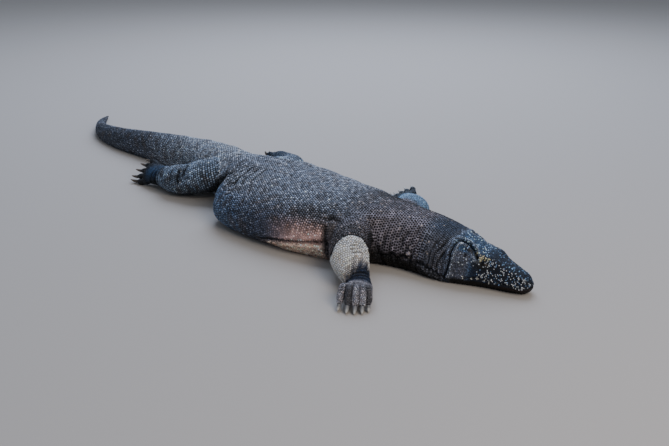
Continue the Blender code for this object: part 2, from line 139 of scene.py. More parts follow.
# ---------------------------------------------------------------------------
# Hide: the animal's own tough, loose skin, one piece from the snout to the tail's tip. It hangs in
# folds on one smooth mass of flesh along a curved spine, widest at the belly, with four legs. It
# replaces every piece of flesh, and lies within them by the depth of the scales that cover it.
# ---------------------------------------------------------------------------
HIPS = np.array((0.07106, -0.02360, 0.0))
MIDLINE = (
    (1.080, 0.042), (1.000, 0.035), (0.880, 0.027), (0.780, 0.024), (0.680, 0.012),
    (0.550, -0.010), (0.400, -0.022), (0.200, -0.018), (0.000, 0.010), (-0.180, 0.050),
    (-0.350, 0.072), (-0.550, 0.070), (-0.750, 0.058), (-0.920, 0.078), (-1.040, 0.132),
    (-1.130, 0.200), (-1.215, 0.275),
)
# Distance from the snout, half width, top height, height of the widest place, depth below it,
# fullness of the upper half, fullness of the lower half.
GIRTH = (
    (0.000, 0.006, 0.030, 0.024, 0.010, 2.0, 2.0),
    (0.004, 0.017, 0.040, 0.024, 0.018, 2.1, 2.1),
    (0.015, 0.027, 0.050, 0.024, 0.022, 2.3, 2.3),
    (0.040, 0.035, 0.062, 0.026, 0.027, 2.5, 2.5),
    (0.075, 0.043, 0.075, 0.028, 0.031, 2.9, 2.6),
    (0.105, 0.051, 0.088, 0.032, 0.036, 3.2, 2.7),
    (0.145, 0.064, 0.101, 0.034, 0.041, 2.8, 2.8),
    (0.178, 0.075, 0.110, 0.033, 0.043, 2.5, 3.0),
    (0.205, 0.084, 0.118, 0.033, 0.045, 2.3, 3.0),
    (0.260, 0.095, 0.130, 0.036, 0.050, 2.1, 2.9),
    (0.320, 0.098, 0.138, 0.042, 0.058, 2.1, 2.7),
    (0.400, 0.110, 0.143, 0.048, 0.066, 2.1, 2.6),
    (0.460, 0.138, 0.145, 0.052, 0.074, 2.1, 2.5),
    (0.540, 0.172, 0.150, 0.048, 0.070, 2.1, 2.6),
    (0.690, 0.198, 0.159, 0.050, 0.072, 2.1, 2.6),
    (0.850, 0.207, 0.161, 0.050, 0.072, 2.1, 2.6),
    (0.915, 0.194, 0.160, 0.052, 0.074, 2.1, 2.6),
    (0.960, 0.163, 0.158, 0.052, 0.072, 2.0, 2.6),
    (0.996, 0.118, 0.157, 0.054, 0.072, 2.0, 2.5),
    (1.040, 0.090, 0.156, 0.060, 0.076, 2.1, 2.3),
    (1.110, 0.086, 0.154, 0.062, 0.074, 2.1, 2.4),
    (1.230, 0.082, 0.145, 0.054, 0.066, 2.1, 2.4),
    (1.400, 0.067, 0.125, 0.044, 0.054, 2.0, 2.4),
    (1.600, 0.054, 0.105, 0.037, 0.045, 1.9, 2.4),
    (1.800, 0.042, 0.086, 0.030, 0.037, 1.9, 2.4),
    (2.000, 0.031, 0.066, 0.023, 0.029, 1.9, 2.3),
    (2.160, 0.021, 0.045, 0.016, 0.020, 1.9, 2.2),
    (2.300, 0.010, 0.025, 0.010, 0.012, 2.0, 2.0),
    (2.380, 0.005, 0.011, 0.005, 0.006, 2.0, 2.0),
)
BODY_LENGTH = 2.378
HEAD_LENGTH = 0.205
CROWN_TAPER = 0.24
EYE_DISTANCE = 0.112
EYE_SIDE = 0.0350
EYE_HEIGHT = 0.0620
EYE_RADIUS = 0.0088
# Joints from the shoulder or hip to the knuckles. Inner is 1 where the inner toe is on the left of
# the paw's heading; roll is by how many degrees the paw's inner edge is lifted.
LEGS = {
    "arm_right": {
        "joints": ((0.602, -0.050, 0.085), (0.634, -0.124, 0.080), (0.688, -0.200, 0.062),
                   (0.765, -0.250, 0.028), (0.793, -0.287, 0.034)),
        "inner": 1, "sole_up": False, "roll": 0.0, "arch": 0.008, "drop": 0.026, "kind": "fore",
    },
    "arm_left": {
        "joints": ((0.615, 0.050, 0.078), (0.602, 0.140, 0.060), (0.560, 0.222, 0.038),
                   (0.480, 0.300, 0.026), (0.442, 0.332, 0.023)),
        "inner": 1, "sole_up": True, "roll": -25.0, "arch": 0.002, "drop": 0.004, "kind": "fore",
    },
    "leg_right": {
        "joints": ((-0.010, -0.010, 0.088), (-0.062, -0.070, 0.075), (-0.146, -0.112, 0.052),
                   (-0.243, -0.111, 0.041), (-0.320, -0.117, 0.041)),
        "inner": -1, "sole_up": True, "roll": 48.0, "arch": 0.002, "drop": 0.004, "kind": "hind",
    },
    "leg_left": {
        "joints": ((0.000, 0.030, 0.080), (0.045, 0.135, 0.062), (0.028, 0.225, 0.046),
                   (-0.078, 0.304, 0.030), (-0.138, 0.328, 0.032)),
        "inner": 1, "sole_up": True, "roll": 20.0, "arch": 0.002, "drop": 0.004, "kind": "hind",
    },
}
# Leg sizes by share of the way to the wrist, paw sizes by distance from it: half width, half height.
# Toes: sideways place on the palm, splay in degrees, length.
LEG_SIZES = {
    "fore": ((0.00, 0.062, 0.052), (0.30, 0.052, 0.047), (0.55, 0.054, 0.050), (0.75, 0.048, 0.043),
             (1.00, 0.034, 0.027)),
    "hind": ((0.00, 0.056, 0.052), (0.30, 0.057, 0.054), (0.55, 0.051, 0.050), (0.78, 0.044, 0.044),
             (1.00, 0.039, 0.039)),
}
PAW_SIZES = {
    "fore": ((0.0, 0.033, 0.0255), (0.030, 0.036, 0.021), (0.075, 0.034, 0.016)),
    "hind": ((0.0, 0.038, 0.037), (0.035, 0.041, 0.030), (0.090, 0.040, 0.022)),
}
TOES = {
    "fore": ((0.78, 5.0, 0.034), (0.40, 3.0, 0.044), (0.00, 0.0, 0.048), (-0.42, -4.0, 0.046),
             (-0.86, -10.0, 0.038)),
    "hind": ((0.84, 12.0, 0.020), (0.44, 6.0, 0.030), (0.00, 0.0, 0.037), (-0.44, -6.0, 0.040),
             (-0.88, -16.0, 0.026)),
}
TOE_BURIED = 0.016
TOE_ROOT_RADIUS = 0.0108
TOE_TIP_RADIUS = 0.0074
TOE_ROOT_HEIGHT = 0.0130
TOE_TIP_HEIGHT = 0.0095
# The skin lies this far inside the solids. It is fused from cells of this size, and where it rests
# on the floor it is held just above it.
SKIN_DEPTH = 0.0012
SKIN_VOXEL = 0.0058
RESTING_HEIGHT = 0.0002
# The mesh is made twice as fine on the head, up to this distance, and on hands and feet, from this
# share of the way to the wrist.
FINE_HEAD = 0.225
FINE_PAW = 0.93
# A point can be a leg's within this reach of the leg's middle, and this far past the spine at most.
# It must also lie this many times as far from the body's middle as the body's surface does.
LEG_REACH = 0.34
PAST_SPINE = 0.02
LEG_CLEAR = 1.03
# The skin blends over about this width between palm and toes, and has this share of a toe's radius.
WEB = 0.0012
TOE_TIGHT = 0.96


def unit(vectors):
    """The vectors at length 1."""
    return vectors / np.maximum(np.linalg.norm(vectors, axis=-1, keepdims=True), 1e-9)


def hill(value, centre, width):
    """A smooth hill of height 1 at the centre, about two widths across."""
    return np.exp(-(((value - centre) / width) ** 2))


def step_up(value, start, end):
    """0 before start, 1 after end, and a smooth rise between them."""
    share = np.clip((value - start) / (end - start), 0, 1)
    return share * share * (3 - 2 * share)


def band(value, start, full, fading, end):
    """1 from full to fading, 0 before start and after end, and smooth slopes between them."""
    return step_up(value, start, full) * (1 - step_up(value, fading, end))


def smooth_route(points, pieces=24):
    """A smooth route through the points: a Catmull-Rom curve, as an array of close points."""
    points = [np.array(p, float) for p in points]
    guarded = [2 * points[0] - points[1], *points, 2 * points[-1] - points[-2]]
    route = []
    for i in range(1, len(guarded) - 2):
        a, b, c, d = guarded[i - 1 : i + 3]
        for step in range(pieces):
            t = step / pieces
            bend = 2 * a - 5 * b + 4 * c - d
            route.append(0.5 * (2 * b + (c - a) * t + bend * t**2 + (3 * b - a - 3 * c + d) * t**3))
    route.append(points[-1])
    return np.array(route)


class Route:
    """A route with its distances and headings, which can be asked about any place or any point."""

    AT_ONCE = 8000  # how many points are looked up together, to save memory

    def __init__(self, points, pieces=24):
        self.points = smooth_route(points, pieces)
        steps = np.linalg.norm(np.diff(self.points, axis=0), axis=1)
        self.gone = np.concatenate(([0.0], np.cumsum(steps)))
        self.length = self.gone[-1]
        self.headings = unit(np.gradient(self.points, self.gone, axis=0))

    def at(self, places):
        """The points and headings at distances along the route."""
        places = np.atleast_1d(places)
        point = np.stack([np.interp(places, self.gone, self.points[:, k]) for k in range(3)], -1)
        heading = np.stack([np.interp(places, self.gone, self.headings[:, k]) for k in range(3)], -1)
        return point, unit(heading)

    def nearest(self, points, flat=False):
        """For each point, how far along the route its nearest place is."""
        mask = np.array((1, 1, 0 if flat else 1))
        starts = self.points[:-1] * mask
        spans = (self.points[1:] - self.points[:-1]) * mask
        lengths = np.maximum((spans**2).sum(-1), 1e-12)
        found = np.empty(len(points))
        for first in range(0, len(points), self.AT_ONCE):
            some = points[first : first + self.AT_ONCE] * mask
            share = ((some[:, None, :] - starts) * spans).sum(-1) / lengths
            share = np.clip(share, 0, 1)
            gap = ((some[:, None, :] - starts - share[..., None] * spans) ** 2).sum(-1)
            best = gap.argmin(1)
            rows = np.arange(len(some))
            span = self.gone[best + 1] - self.gone[best]
            found[first : first + self.AT_ONCE] = self.gone[best] + share[rows, best] * span
        return found


def slopes(table):
    """The slopes of every column of a table: never past a neighbour, and zero at a peak."""
    table = np.array(table, float)
    rise = np.diff(table, axis=0)
    rate = rise[:, 1:] / rise[:, :1]
    both = rate[:-1] * rate[1:]
    inner = np.where(both > 0, 2 * both / np.where(both > 0, rate[:-1] + rate[1:], 1), 0.0)
    return np.vstack((rate[:1], inner, rate[-1:]))


def read_table(table, places):
    """The rows of a table at places along its first column, on a smooth curve."""
    slope = slopes(table)
    table = np.array(table, float)
    places = np.clip(np.atleast_1d(places), table[0, 0], table[-1, 0])
    index = np.clip(np.searchsorted(table[:, 0], places, "right") - 1, 0, len(table) - 2)
    span = (table[index + 1, 0] - table[index, 0])[:, None]
    t = (places - table[index, 0])[:, None] / span
    return (
        (2 * t**3 - 3 * t**2 + 1) * table[index, 1:]
        + (t**3 - 2 * t**2 + t) * span * slope[index]
        + (3 * t**2 - 2 * t**3) * table[index + 1, 1:]
        + (t**3 - t**2) * span * slope[index + 1]
    )


body = Route([(x + HIPS[0], y + HIPS[1], 0) for x, y in MIDLINE])


def body_sides(headings):
    """The leftward direction at each heading of the spine."""
    return np.stack((headings[:, 1], -headings[:, 0], np.zeros(len(headings))), -1)


def body_rings(places, angles, inset=0.0):
    """Points of the body's surface for each place along it and each angle round it.

    Angle 0 is the left side, 90 degrees the back, 180 degrees the right side.
    """
    centre, heading = body.at(places)
    left = body_sides(heading)
    half_width, top, widest, depth, upper, lower = read_table(GIRTH, places).T[:, :, None]
    angles = np.asarray(angles)[None, :]
    up = np.sin(angles)
    fullness = np.where(up >= 0, upper, lower)
    across = np.sign(np.cos(angles)) * np.abs(np.cos(angles)) ** (2 / fullness)
    high = np.sign(up) * np.abs(up) ** (2 / fullness)
    rise = np.where(up >= 0, top - widest, depth)
    place = np.asarray(places)[:, None]
    head = np.clip((HEAD_LENGTH - place) / 0.05, 0, 1)
    side = np.abs(np.cos(angles))
    # The head's own forms, in order: brow ridge, eye socket, jaw muscle, the hollow before the ear,
    # nostril, lip, and the dip across the crown.
    relief = (
        0.0065 * hill(place, 0.102, 0.020) * hill(up, 0.80, 0.16) * hill(side, 0.6, 0.35)
        - 0.0045 * hill(place, EYE_DISTANCE, 0.014) * hill(up, 0.52, 0.14)
        + 0.0050 * hill(place, 0.160, 0.026) * hill(up, 0.15, 0.45)
        - 0.0050 * hill(place, 0.152, 0.009) * hill(up, 0.72, 0.14)
        + 0.0025 * hill(place, 0.020, 0.010) * hill(up, 0.62, 0.25)
        + 0.0022 * hill(up, -0.12, 0.22) * hill(place, 0.06, 0.07)
        - 0.0030 * hill(place, 0.136, 0.018) * hill(up, 1.0, 0.25)
    )
    across = across * (1 - CROWN_TAPER * head * np.maximum(high, 0))
    out = np.stack((across * half_width, high * rise), -1)
    out = out + unit(out) * (head * relief - inset)[..., None]
    height = np.maximum(widest + out[..., 1], 0.0)
    points = centre[:, None, :] + left[:, None, :] * out[..., :1]
    points[..., 2] = height
    return points


def limb_frames(headings, rolls):
    """The sideways and upwards directions of a limb at each heading; roll lifts its right side."""
    across = unit(np.cross(headings, (0, 0, 1.0)))
    up = np.cross(across, headings)
    turn = np.radians(rolls)[:, None]
    tilted = across * np.cos(turn) + up * np.sin(turn)
    return tilted, unit(np.cross(tilted, headings))


def limb_rings(route, places, table, sides, rolls, inset=0.0):
    """Cross-sections of a limb or toe square to its route, flat where they meet the floor."""
    centre, heading = route.at(places)
    across, up = limb_frames(heading, rolls)
    sizes = read_table(table, places) - inset
    angle = np.arange(sides) * 2 * np.pi / sides
    points = (
        centre[:, None, :]
        + across[:, None, :] * (sizes[:, :1] * np.cos(angle))[..., None]
        + up[:, None, :] * (sizes[:, 1:2] * np.sin(angle))[..., None]
    )
    points[..., 2] = np.maximum(points[..., 2], 0.0)
    return points


def add_loft(store, rings):
    """Adds a closed solid through rings to a store of vertices and faces."""
    verts, faces = store
    count, sides = rings.shape[:2]
    base = sum(len(v) for v in verts)
    verts.append(rings.reshape(-1, 3))
    for i in range(count - 1):
        for j in range(sides):
            k = (j + 1) % sides
            near, far = base + i * sides, base + (i + 1) * sides
            faces.append((near + j, near + k, far + k, far + j))
    faces.append(tuple(base + j for j in range(sides))[::-1])
    faces.append(tuple(base + (count - 1) * sides + j for j in range(sides)))


class Limb:
    """One leg with its route, its girth, and the routes of its five toes."""

    def __init__(self, facts):
        joints = np.array(facts["joints"]) + HIPS
        self.route = Route(joints)
        self.wrist = self.route.nearest(joints[3:4])[0]
        rows = [(share * self.wrist, w, h) for share, w, h in LEG_SIZES[facts["kind"]][:-1]]
        rows += [(self.wrist + d, w, h) for d, w, h in PAW_SIZES[facts["kind"]]]
        self.table = rows
        self.end = self.route.length
        self.roll = -facts["inner"] * facts["roll"]
        knuckles, heading = self.route.at(self.end)
        across, up = limb_frames(heading, np.array([self.roll]))
        right, up, heading, knuckles = across[0], up[0], heading[0], knuckles[0]
        self.sole = up if facts["sole_up"] else -up
        half_palm = PAW_SIZES[facts["kind"]][-1][1]
        self.toes = []
        for sideways, splay, length in TOES[facts["kind"]]:
            turn = math.radians(splay * facts["inner"])
            direction = heading * math.cos(turn) - right * math.sin(turn)
            root = knuckles - heading * TOE_BURIED - right * (sideways * half_palm * facts["inner"])
            root[2] = max(root[2], TOE_ROOT_HEIGHT)
            length += TOE_BURIED
            middle = root + direction * (length * 0.5) + up * facts["arch"]
            tip = root + direction * length
            tip[2] = max(tip[2] - facts["drop"], TOE_TIP_HEIGHT)
            self.toes.append(Route([root, middle, tip], 6))

    def rolls(self, places):
        """The roll at places along the leg: none down to the wrist, then growing over the paw."""
        return self.roll * np.clip((places - self.wrist) / (self.end - self.wrist), 0, 1)

    def toe_table(self, toe):
        """A toe's girth: distance along it, half width, half height. It swells at its last joint."""
        r, t, whole = TOE_ROOT_RADIUS, TOE_TIP_RADIUS, toe.length
        return (
            (0.0, r, r),
            (whole * 0.45, r * 0.80, r * 0.86),
            (whole * 0.72, r * 0.86, r * 0.90),
            (whole, t * 0.92, t),
        )


limbs = {name: Limb(facts) for name, facts in LEGS.items()}

# The lofts of body, legs and toes are fused into one closed surface, which is then made finer on
# the head, hands and feet, and folded and creased.
solid = ([], [])
angles = np.arange(112) * 2 * np.pi / 112
tip = np.array((0.0003, 0.0012, 0.003, 0.006, 0.0105))
places = np.concatenate((tip, np.arange(0.015, BODY_LENGTH, 0.005)))
add_loft(solid, body_rings(places, angles, SKIN_DEPTH))
for limb in limbs.values():
    places = np.linspace(0, limb.end, 80)
    add_loft(solid, limb_rings(limb.route, places, limb.table, 48, limb.rolls(places), SKIN_DEPTH))
    for toe in limb.toes:
        places = np.linspace(0, toe.length, 14)
        rolls = np.full(14, limb.roll)
        # Toes go in thin, so that the cells between them stay apart, and get their full girth later.
        thin = [(at, wide * 0.66, high * 0.70) for at, wide, high in limb.toe_table(toe)]
        add_loft(solid, limb_rings(toe, places, thin, 16, rolls))
mesh = bpy.data.meshes.new("skin_form")
mesh.from_pydata(np.concatenate(solid[0]).tolist(), [], solid[1])
form = new_object("skin_form", mesh)
remesh = form.modifiers.new("fuse", "REMESH")
remesh.mode = "VOXEL"
remesh.voxel_size = SKIN_VOXEL
bpy.context.view_layer.update()
graph = bpy.context.evaluated_depsgraph_get()
skin_mesh = bpy.data.meshes.new_from_object(form.evaluated_get(graph))
bpy.data.objects.remove(form)
bpy.data.meshes.remove(mesh)


def vectors_of(items, key):
    """One vector of each of a mesh's items, as an array."""
    vectors = np.empty(len(items) * 3)
    items.foreach_get(key, vectors)
    return vectors.reshape(-1, 3)


def set_points(mesh, points):
    """Moves a mesh's points to new places."""
    mesh.vertices.foreach_set("co", points.ravel())
    mesh.update()


def locate(points):
    """Where points are on the animal. Returns the limb each is on (0 is the body, 1 to 4 the legs),
    the distance along the body, the angle round it, the share of the way along the limb, and the
    angle round the limb.
    """
    distance = body.nearest(points, flat=True)
    centre, heading = body.at(distance)
    left = body_sides(heading)
    half_width, top, widest, depth, upper, lower = read_table(GIRTH, distance).T
    side = ((points - centre) * left).sum(-1)
    rise = points[:, 2] - widest
    angle = np.arctan2(rise / np.where(rise > 0, top - widest, depth), side / half_width)
    ratio = np.hypot(side / half_width, rise / np.where(rise > 0, top - widest, depth))
    which = np.zeros(len(points), int)
    share = np.zeros(len(points))
    limb_angle = np.zeros(len(points))
    best = ratio.copy()
    for number, (name, limb) in enumerate(limbs.items(), start=1):
        own_side = side < PAST_SPINE if name.endswith("right") else side > -PAST_SPINE
        middle = limb.route.points[len(limb.route.points) // 2]
        near = np.flatnonzero((np.linalg.norm(points - middle, axis=1) < LEG_REACH) & own_side)
        along = limb.route.nearest(points[near])
        middle, heading = limb.route.at(along)
        sizes = read_table(limb.table, along)
        across, up = limb_frames(heading, limb.rolls(along))
        away = points[near] - middle
        x, y = (away * across).sum(-1), (away * up).sum(-1)
        limb_ratio = np.hypot(x / sizes[:, 0], y / sizes[:, 1])
        closer = (limb_ratio < best[near]) & (ratio[near] > LEG_CLEAR)
        chosen = near[closer]
        best[chosen] = limb_ratio[closer]
        which[chosen] = number
        share[chosen] = along[closer] / limb.wrist
        limb_angle[chosen] = np.arctan2(y, x)[closer]
    return which, distance, angle, share, limb_angle


def subdivide_where(mesh, chosen):
    """Cuts the mesh's edges in half wherever both ends are among the chosen vertices."""
    bm = bmesh.new()
    bm.from_mesh(mesh)
    bm.verts.ensure_lookup_table()
    edges = [e for e in bm.edges if chosen[e.verts[0].index] and chosen[e.verts[1].index]]
    bmesh.ops.subdivide_edges(bm, edges=edges, cuts=1, use_grid_fill=True, smooth=0.0)
    bmesh.ops.triangulate(bm, faces=[f for f in bm.faces if len(f.verts) > 4])
    bm.to_mesh(mesh)
    bm.free()


def smooth_points(mesh, points, rounds, weight):
    """Evens out a mesh's points: each moves towards the mean of its neighbours by its weight."""
    edges = np.empty(len(mesh.edges) * 2, int)
    mesh.edges.foreach_get("vertices", edges)
    edges = edges.reshape(-1, 2)
    count = np.bincount(edges.ravel(), minlength=len(points))[:, None]
    for _ in range(rounds):
        total = np.zeros_like(points)
        for k in range(3):
            total[:, k] = np.bincount(edges[:, 0], points[edges[:, 1], k], len(points))
            total[:, k] += np.bincount(edges[:, 1], points[edges[:, 0], k], len(points))
        points = points + (total / count - points) * weight[:, None]
    return points


points = vectors_of(skin_mesh.vertices, "co")
which, distance, angle, share, limb_angle = locate(points)
fine = ((which == 0) & (distance < FINE_HEAD)) | ((which > 0) & (share > FINE_PAW))
subdivide_where(skin_mesh, fine)
points = vectors_of(skin_mesh.vertices, "co")
which, distance, angle, share, limb_angle = locate(points)
# The steps of the cells are eased out, most on the body and hardly at all on the toes.
ease = np.where((which == 0) & (distance > 0.22), 0.5, 0.35)
ease = np.where((which > 0) & (share > 1.08), 0.06, ease)
points = smooth_points(skin_mesh, points, 5, ease)


def off_paw(points, limb):
    """How far points are outside a paw, and which way is out. The palm and toes blend a little."""
    along = np.clip(limb.route.nearest(points), 0, limb.end - 0.012)
    middle, heading = limb.route.at(along)
    across, up = limb_frames(heading, limb.rolls(along))
    wide, high = (read_table(limb.table, along) - SKIN_DEPTH).T
    away = points - middle
    reach = np.linalg.norm(away, axis=1)
    x, y, z = [(away * axis).sum(-1) for axis in (across, up, heading)]
    ratio = np.sqrt((x / wide) ** 2 + (y / high) ** 2 + (z / high) ** 2)
    depths, ways = [reach * (1 - 1 / ratio)], [away / reach[:, None]]
    for toe in limb.toes:
        along = np.clip(toe.nearest(points), 0, toe.length - TOE_TIP_RADIUS)
        away = points - toe.at(along)[0]
        reach = np.linalg.norm(away, axis=1)
        radius = read_table(limb.toe_table(toe), along)[:, 1] * TOE_TIGHT
        depths.append(reach - radius)
        ways.append(away / reach[:, None])
    depths = np.array(depths)
    weights = np.exp(-(depths - depths.min(0)) / WEB)
    weights /= weights.sum(0)
    return depths.min(0), unit((np.array(ways) * weights[..., None]).sum(0))


# The skin is fitted onto the palms and toes, which the cells were too coarse to follow.
for _ in range(5):
    for number, limb in enumerate(limbs.values(), start=1):
        on_paw = np.flatnonzero((which == number) & (share > 0.86) & (points[:, 2] > 0.0015))
        depth, out = off_paw(points[on_paw], limb)
        hold = step_up(share[on_paw], 0.86, 0.98)
        points[on_paw] -= out * (depth * hold)[:, None]
    points = smooth_points(skin_mesh, points, 1, ((which > 0) & (share > 0.9)) * 0.10)
points[:, 2] = np.maximum(points[:, 2], RESTING_HEIGHT)
set_points(skin_mesh, points)


def eye_place(side):
    """The middle of an eyeball, and the way it looks: outwards, a little up and forwards."""
    centre, heading = body.at(EYE_DISTANCE)
    left = body_sides(heading)[0]
    place = centre[0] + left * side * EYE_SIDE + np.array((0, 0, EYE_HEIGHT))
    return place, unit(left * side + np.array((0, 0, 0.42)) - heading[0] * 0.16), heading[0]


# The mouth line by distance from the snout and height; the nostrils and ears by distance from the
# snout and degrees down from the top of the head.
MOUTH_LINE = (
    (0.001, 0.0215), (0.010, 0.0215), (0.045, 0.0250), (0.085, 0.0255), (0.120, 0.0310),
    (0.140, 0.0290), (0.163, 0.0160),
)
NOSTRIL = (0.021, 58.0)
EAR = (0.163, 50.0)


def drop_angle(angle):
    """Degrees from the top of the back down either side: 90 is level, 180 underneath."""
    return np.degrees(np.abs(np.arctan2(np.cos(angle), np.sin(angle))))


def girth_radius(distance):
    """The mean radius of the body's cross-section."""
    half_width, top, widest, depth, upper, lower = read_table(GIRTH, distance).T
    return (half_width + (top - widest + depth) / 2) / 2


def unrolled(distance, drop):
    """Places on the hide laid out flat, in metres: along the body, and down its side."""
    return np.stack((distance, np.radians(drop) * girth_radius(distance)), -1)


def line_distance(places, line):
    """How far each place on the flat hide is from a line given by (distance, drop angle) points."""
    line = np.array(line, float)
    ends = unrolled(line[:, 0], line[:, 1])
    best = np.full(len(places), 1e9)
    for a, b in zip(ends, ends[1:]):
        span = b - a
        t = np.clip(((places - a) @ span) / (span @ span), 0, 1)
        best = np.minimum(best, np.linalg.norm(places - a - t[:, None] * span, axis=1))
    return best


eyes = {1: eye_place(1), -1: eye_place(-1)}
# The mesh is made finer again along the mouth and round the nostrils, ears and eyes.
mouth_height = read_table(MOUTH_LINE, distance)[:, 0]
fine = (which == 0) & (distance < 0.17) & (np.abs(points[:, 2] - mouth_height) < 0.006)
drop = drop_angle(angle)
flat = unrolled(distance, drop)
for spot in (NOSTRIL, EAR):
    middle = unrolled(np.array([spot[0]]), np.array([spot[1]]))[0]
    fine |= (which == 0) & (np.linalg.norm(flat - middle, axis=1) < 0.009)
for place, gaze, forward in eyes.values():
    fine |= np.linalg.norm(points - place, axis=1) < 0.017
subdivide_where(skin_mesh, fine)

# Creases run along these lines on both sides of the body: (distance from the snout, degrees down
# from the top) points, then the width and depth in metres, and how dark the painted shade inside them is.
CREASES = (
    (((0.134, 46), (0.150, 30), (0.167, 22), (0.187, 22), (0.196, 31), (0.197, 54), (0.195, 72),
      (0.198, 88), (0.203, 108)), 0.0030, 0.0080, 1.0),
    (((0.400, 99), (0.375, 96), (0.358, 89), (0.349, 97), (0.330, 88), (0.313, 90), (0.295, 95),
      (0.267, 88), (0.250, 92), (0.224, 98), (0.201, 117)), 0.0045, 0.0085, 0.95),
    (((0.267, 103), (0.240, 120), (0.215, 132)), 0.0035, 0.0040, 0.8),
    (((0.425, 70), (0.405, 88), (0.392, 108), (0.385, 128)), 0.0045, 0.0070, 1.0),
    (((0.716, 109), (0.668, 101), (0.623, 94), (0.581, 90), (0.550, 85), (0.526, 84)),
     0.0065, 0.0085, 0.85),
    (((0.539, 60), (0.531, 76), (0.526, 100)), 0.0050, 0.0060, 0.95),
    (((0.546, 52), (0.528, 48), (0.512, 52)), 0.0050, 0.0040, 0.7),
    (((0.953, 40), (0.966, 27), (0.978, 14)), 0.0042, 0.0044, 1.0),
    (((0.938, 45), (0.950, 30), (0.961, 15)), 0.0040, 0.0042, 1.0),
    (((0.918, 47), (0.931, 31), (0.943, 14)), 0.0042, 0.0044, 1.0),
    (((0.900, 47), (0.912, 31), (0.925, 13)), 0.0040, 0.0040, 0.9),
    (((0.880, 46), (0.893, 30), (0.906, 14)), 0.0042, 0.0040, 0.95),
    (((0.860, 40), (0.872, 26), (0.884, 13)), 0.0038, 0.0032, 0.8),
    (((0.838, 34), (0.849, 22), (0.860, 12)), 0.0040, 0.0028, 0.7),
    (((0.812, 30), (0.823, 20)), 0.0034, 0.0016, 0.4),
    (((0.588, 34), (0.576, 42), (0.570, 52)), 0.0040, 0.0026, 0.6),
    (((0.548, 30), (0.540, 40), (0.536, 50)), 0.0040, 0.0030, 0.7),
    (((0.525, 22), (0.510, 34), (0.500, 44)), 0.0036, 0.0022, 0.5),
    (((0.448, 40), (0.430, 52), (0.412, 68), (0.400, 84)), 0.0045, 0.0035, 0.5),
)
# Creases across the limbs: the limb's number, share of the way to the wrist, the middle of the
# crease in degrees round the limb, its reach each way, then width, depth and the darkness of the
# painted shade in it.
LIMB_CREASES = (
    (1, 0.523, 95, 95, 0.0050, 0.0080, 1.0),
    (1, 0.484, 92, 80, 0.0036, 0.0052, 1.0),
    (1, 0.446, 92, 76, 0.0036, 0.0050, 1.0),
    (1, 0.404, 92, 70, 0.0038, 0.0046, 0.95),
    (1, 0.355, 96, 60, 0.0040, 0.0040, 0.8),
    (1, 0.552, 98, 80, 0.0020, 0.0016, 0.55),
    (1, 0.578, 104, 72, 0.0020, 0.0018, 0.55),
    (1, 0.606, 118, 58, 0.0022, 0.0020, 0.6),
    (1, 0.636, 126, 50, 0.0022, 0.0020, 0.6),
    (1, 0.668, 128, 46, 0.0026, 0.0030, 0.7),
    (1, 0.702, 126, 40, 0.0026, 0.0030, 0.7),
    (1, 0.740, 124, 38, 0.0034, 0.0044, 0.9),
    (1, 0.790, 70, 34, 0.0024, 0.0018, 0.45),
    (1, 0.840, 60, 40, 0.0024, 0.0018, 0.45),
    (1, 0.905, 105, 60, 0.0034, 0.0026, 0.6),
    (1, 0.948, 105, 70, 0.0040, 0.0045, 0.9),
    (1, 0.990, 95, 80, 0.0034, 0.0030, 0.6),
    (1, 1.035, 90, 80, 0.0034, 0.0024, 0.5),
    (2, 0.55, 90, 80, 0.0045, 0.0035, 0.5),
    (2, 0.95, 90, 90, 0.0036, 0.0028, 0.5),
    (2, 1.02, 90, 90, 0.0034, 0.0024, 0.5),
    (3, 0.500, 118, 40, 0.0110, 0.0100, 0.95),
    (3, 0.560, 150, 32, 0.0080, 0.0080, 1.0),
    (3, 0.640, 140, 34, 0.0050, 0.0040, 0.7),
    (3, 0.800, 140, 50, 0.0046, 0.0040, 0.8),
    (3, 0.870, 120, 70, 0.0050, 0.0046, 0.9),
    (3, 0.940, 120, 80, 0.0050, 0.0050, 1.0),
    (3, 1.010, 130, 80, 0.0044, 0.0036, 0.8),
    (3, 1.090, 140, 60, 0.0040, 0.0030, 0.7),
    (4, 0.53, 90, 70, 0.0070, 0.0050, 0.6),
    (4, 0.95, 90, 90, 0.0045, 0.0032, 0.6),
    (4, 1.02, 90, 80, 0.0040, 0.0026, 0.5),
)
# Swellings of fat, muscle and bone under the hide: height, distance along the body and reach, degrees
# down its side and reach. In order: throat, hip, shoulder, the muzzle's edge, brow, the hollow behind
# the eye, jaw muscle, and the dip along the top of the snout.
SWELLINGS = (
    (0.0045, 0.235, 0.028, 112, 14),
    (0.0030, 1.00, 0.05, 24, 16),
    (0.0030, 0.45, 0.05, 30, 18),
    (0.0016, 0.055, 0.035, 42, 8),
    (0.0034, 0.112, 0.017, 43, 7),
    (-0.0022, 0.140, 0.022, 52, 6),
    (0.0030, 0.172, 0.016, 72, 20),
    (-0.0016, 0.085, 0.040, 14, 12),
)
# The right elbow's folds lie aslant: how much further down the arm they lie at each angle round it.
ELBOW_SLANT = (
    (-180, 0.075), (-120, 0.06), (-50, 0.09), (16, 0.12), (38, 0.08), (61, 0.04), (92, 0.0),
    (124, -0.01), (147, 0.02), (171, 0.07), (180, 0.075),
)


def along_arm(share, limb_angle):
    """The share of the way down the right arm, measured square to the slant of its elbow's folds."""
    slant = read_table(ELBOW_SLANT, np.degrees(limb_angle))[:, 0]
    return share - slant * (1 - step_up(share, 0.72, 0.95))


def from_route(points, route):
    """How far along a route each point is, and how far off it."""
    along = route.nearest(points)
    return along, np.linalg.norm(points - route.at(along)[0], axis=1)


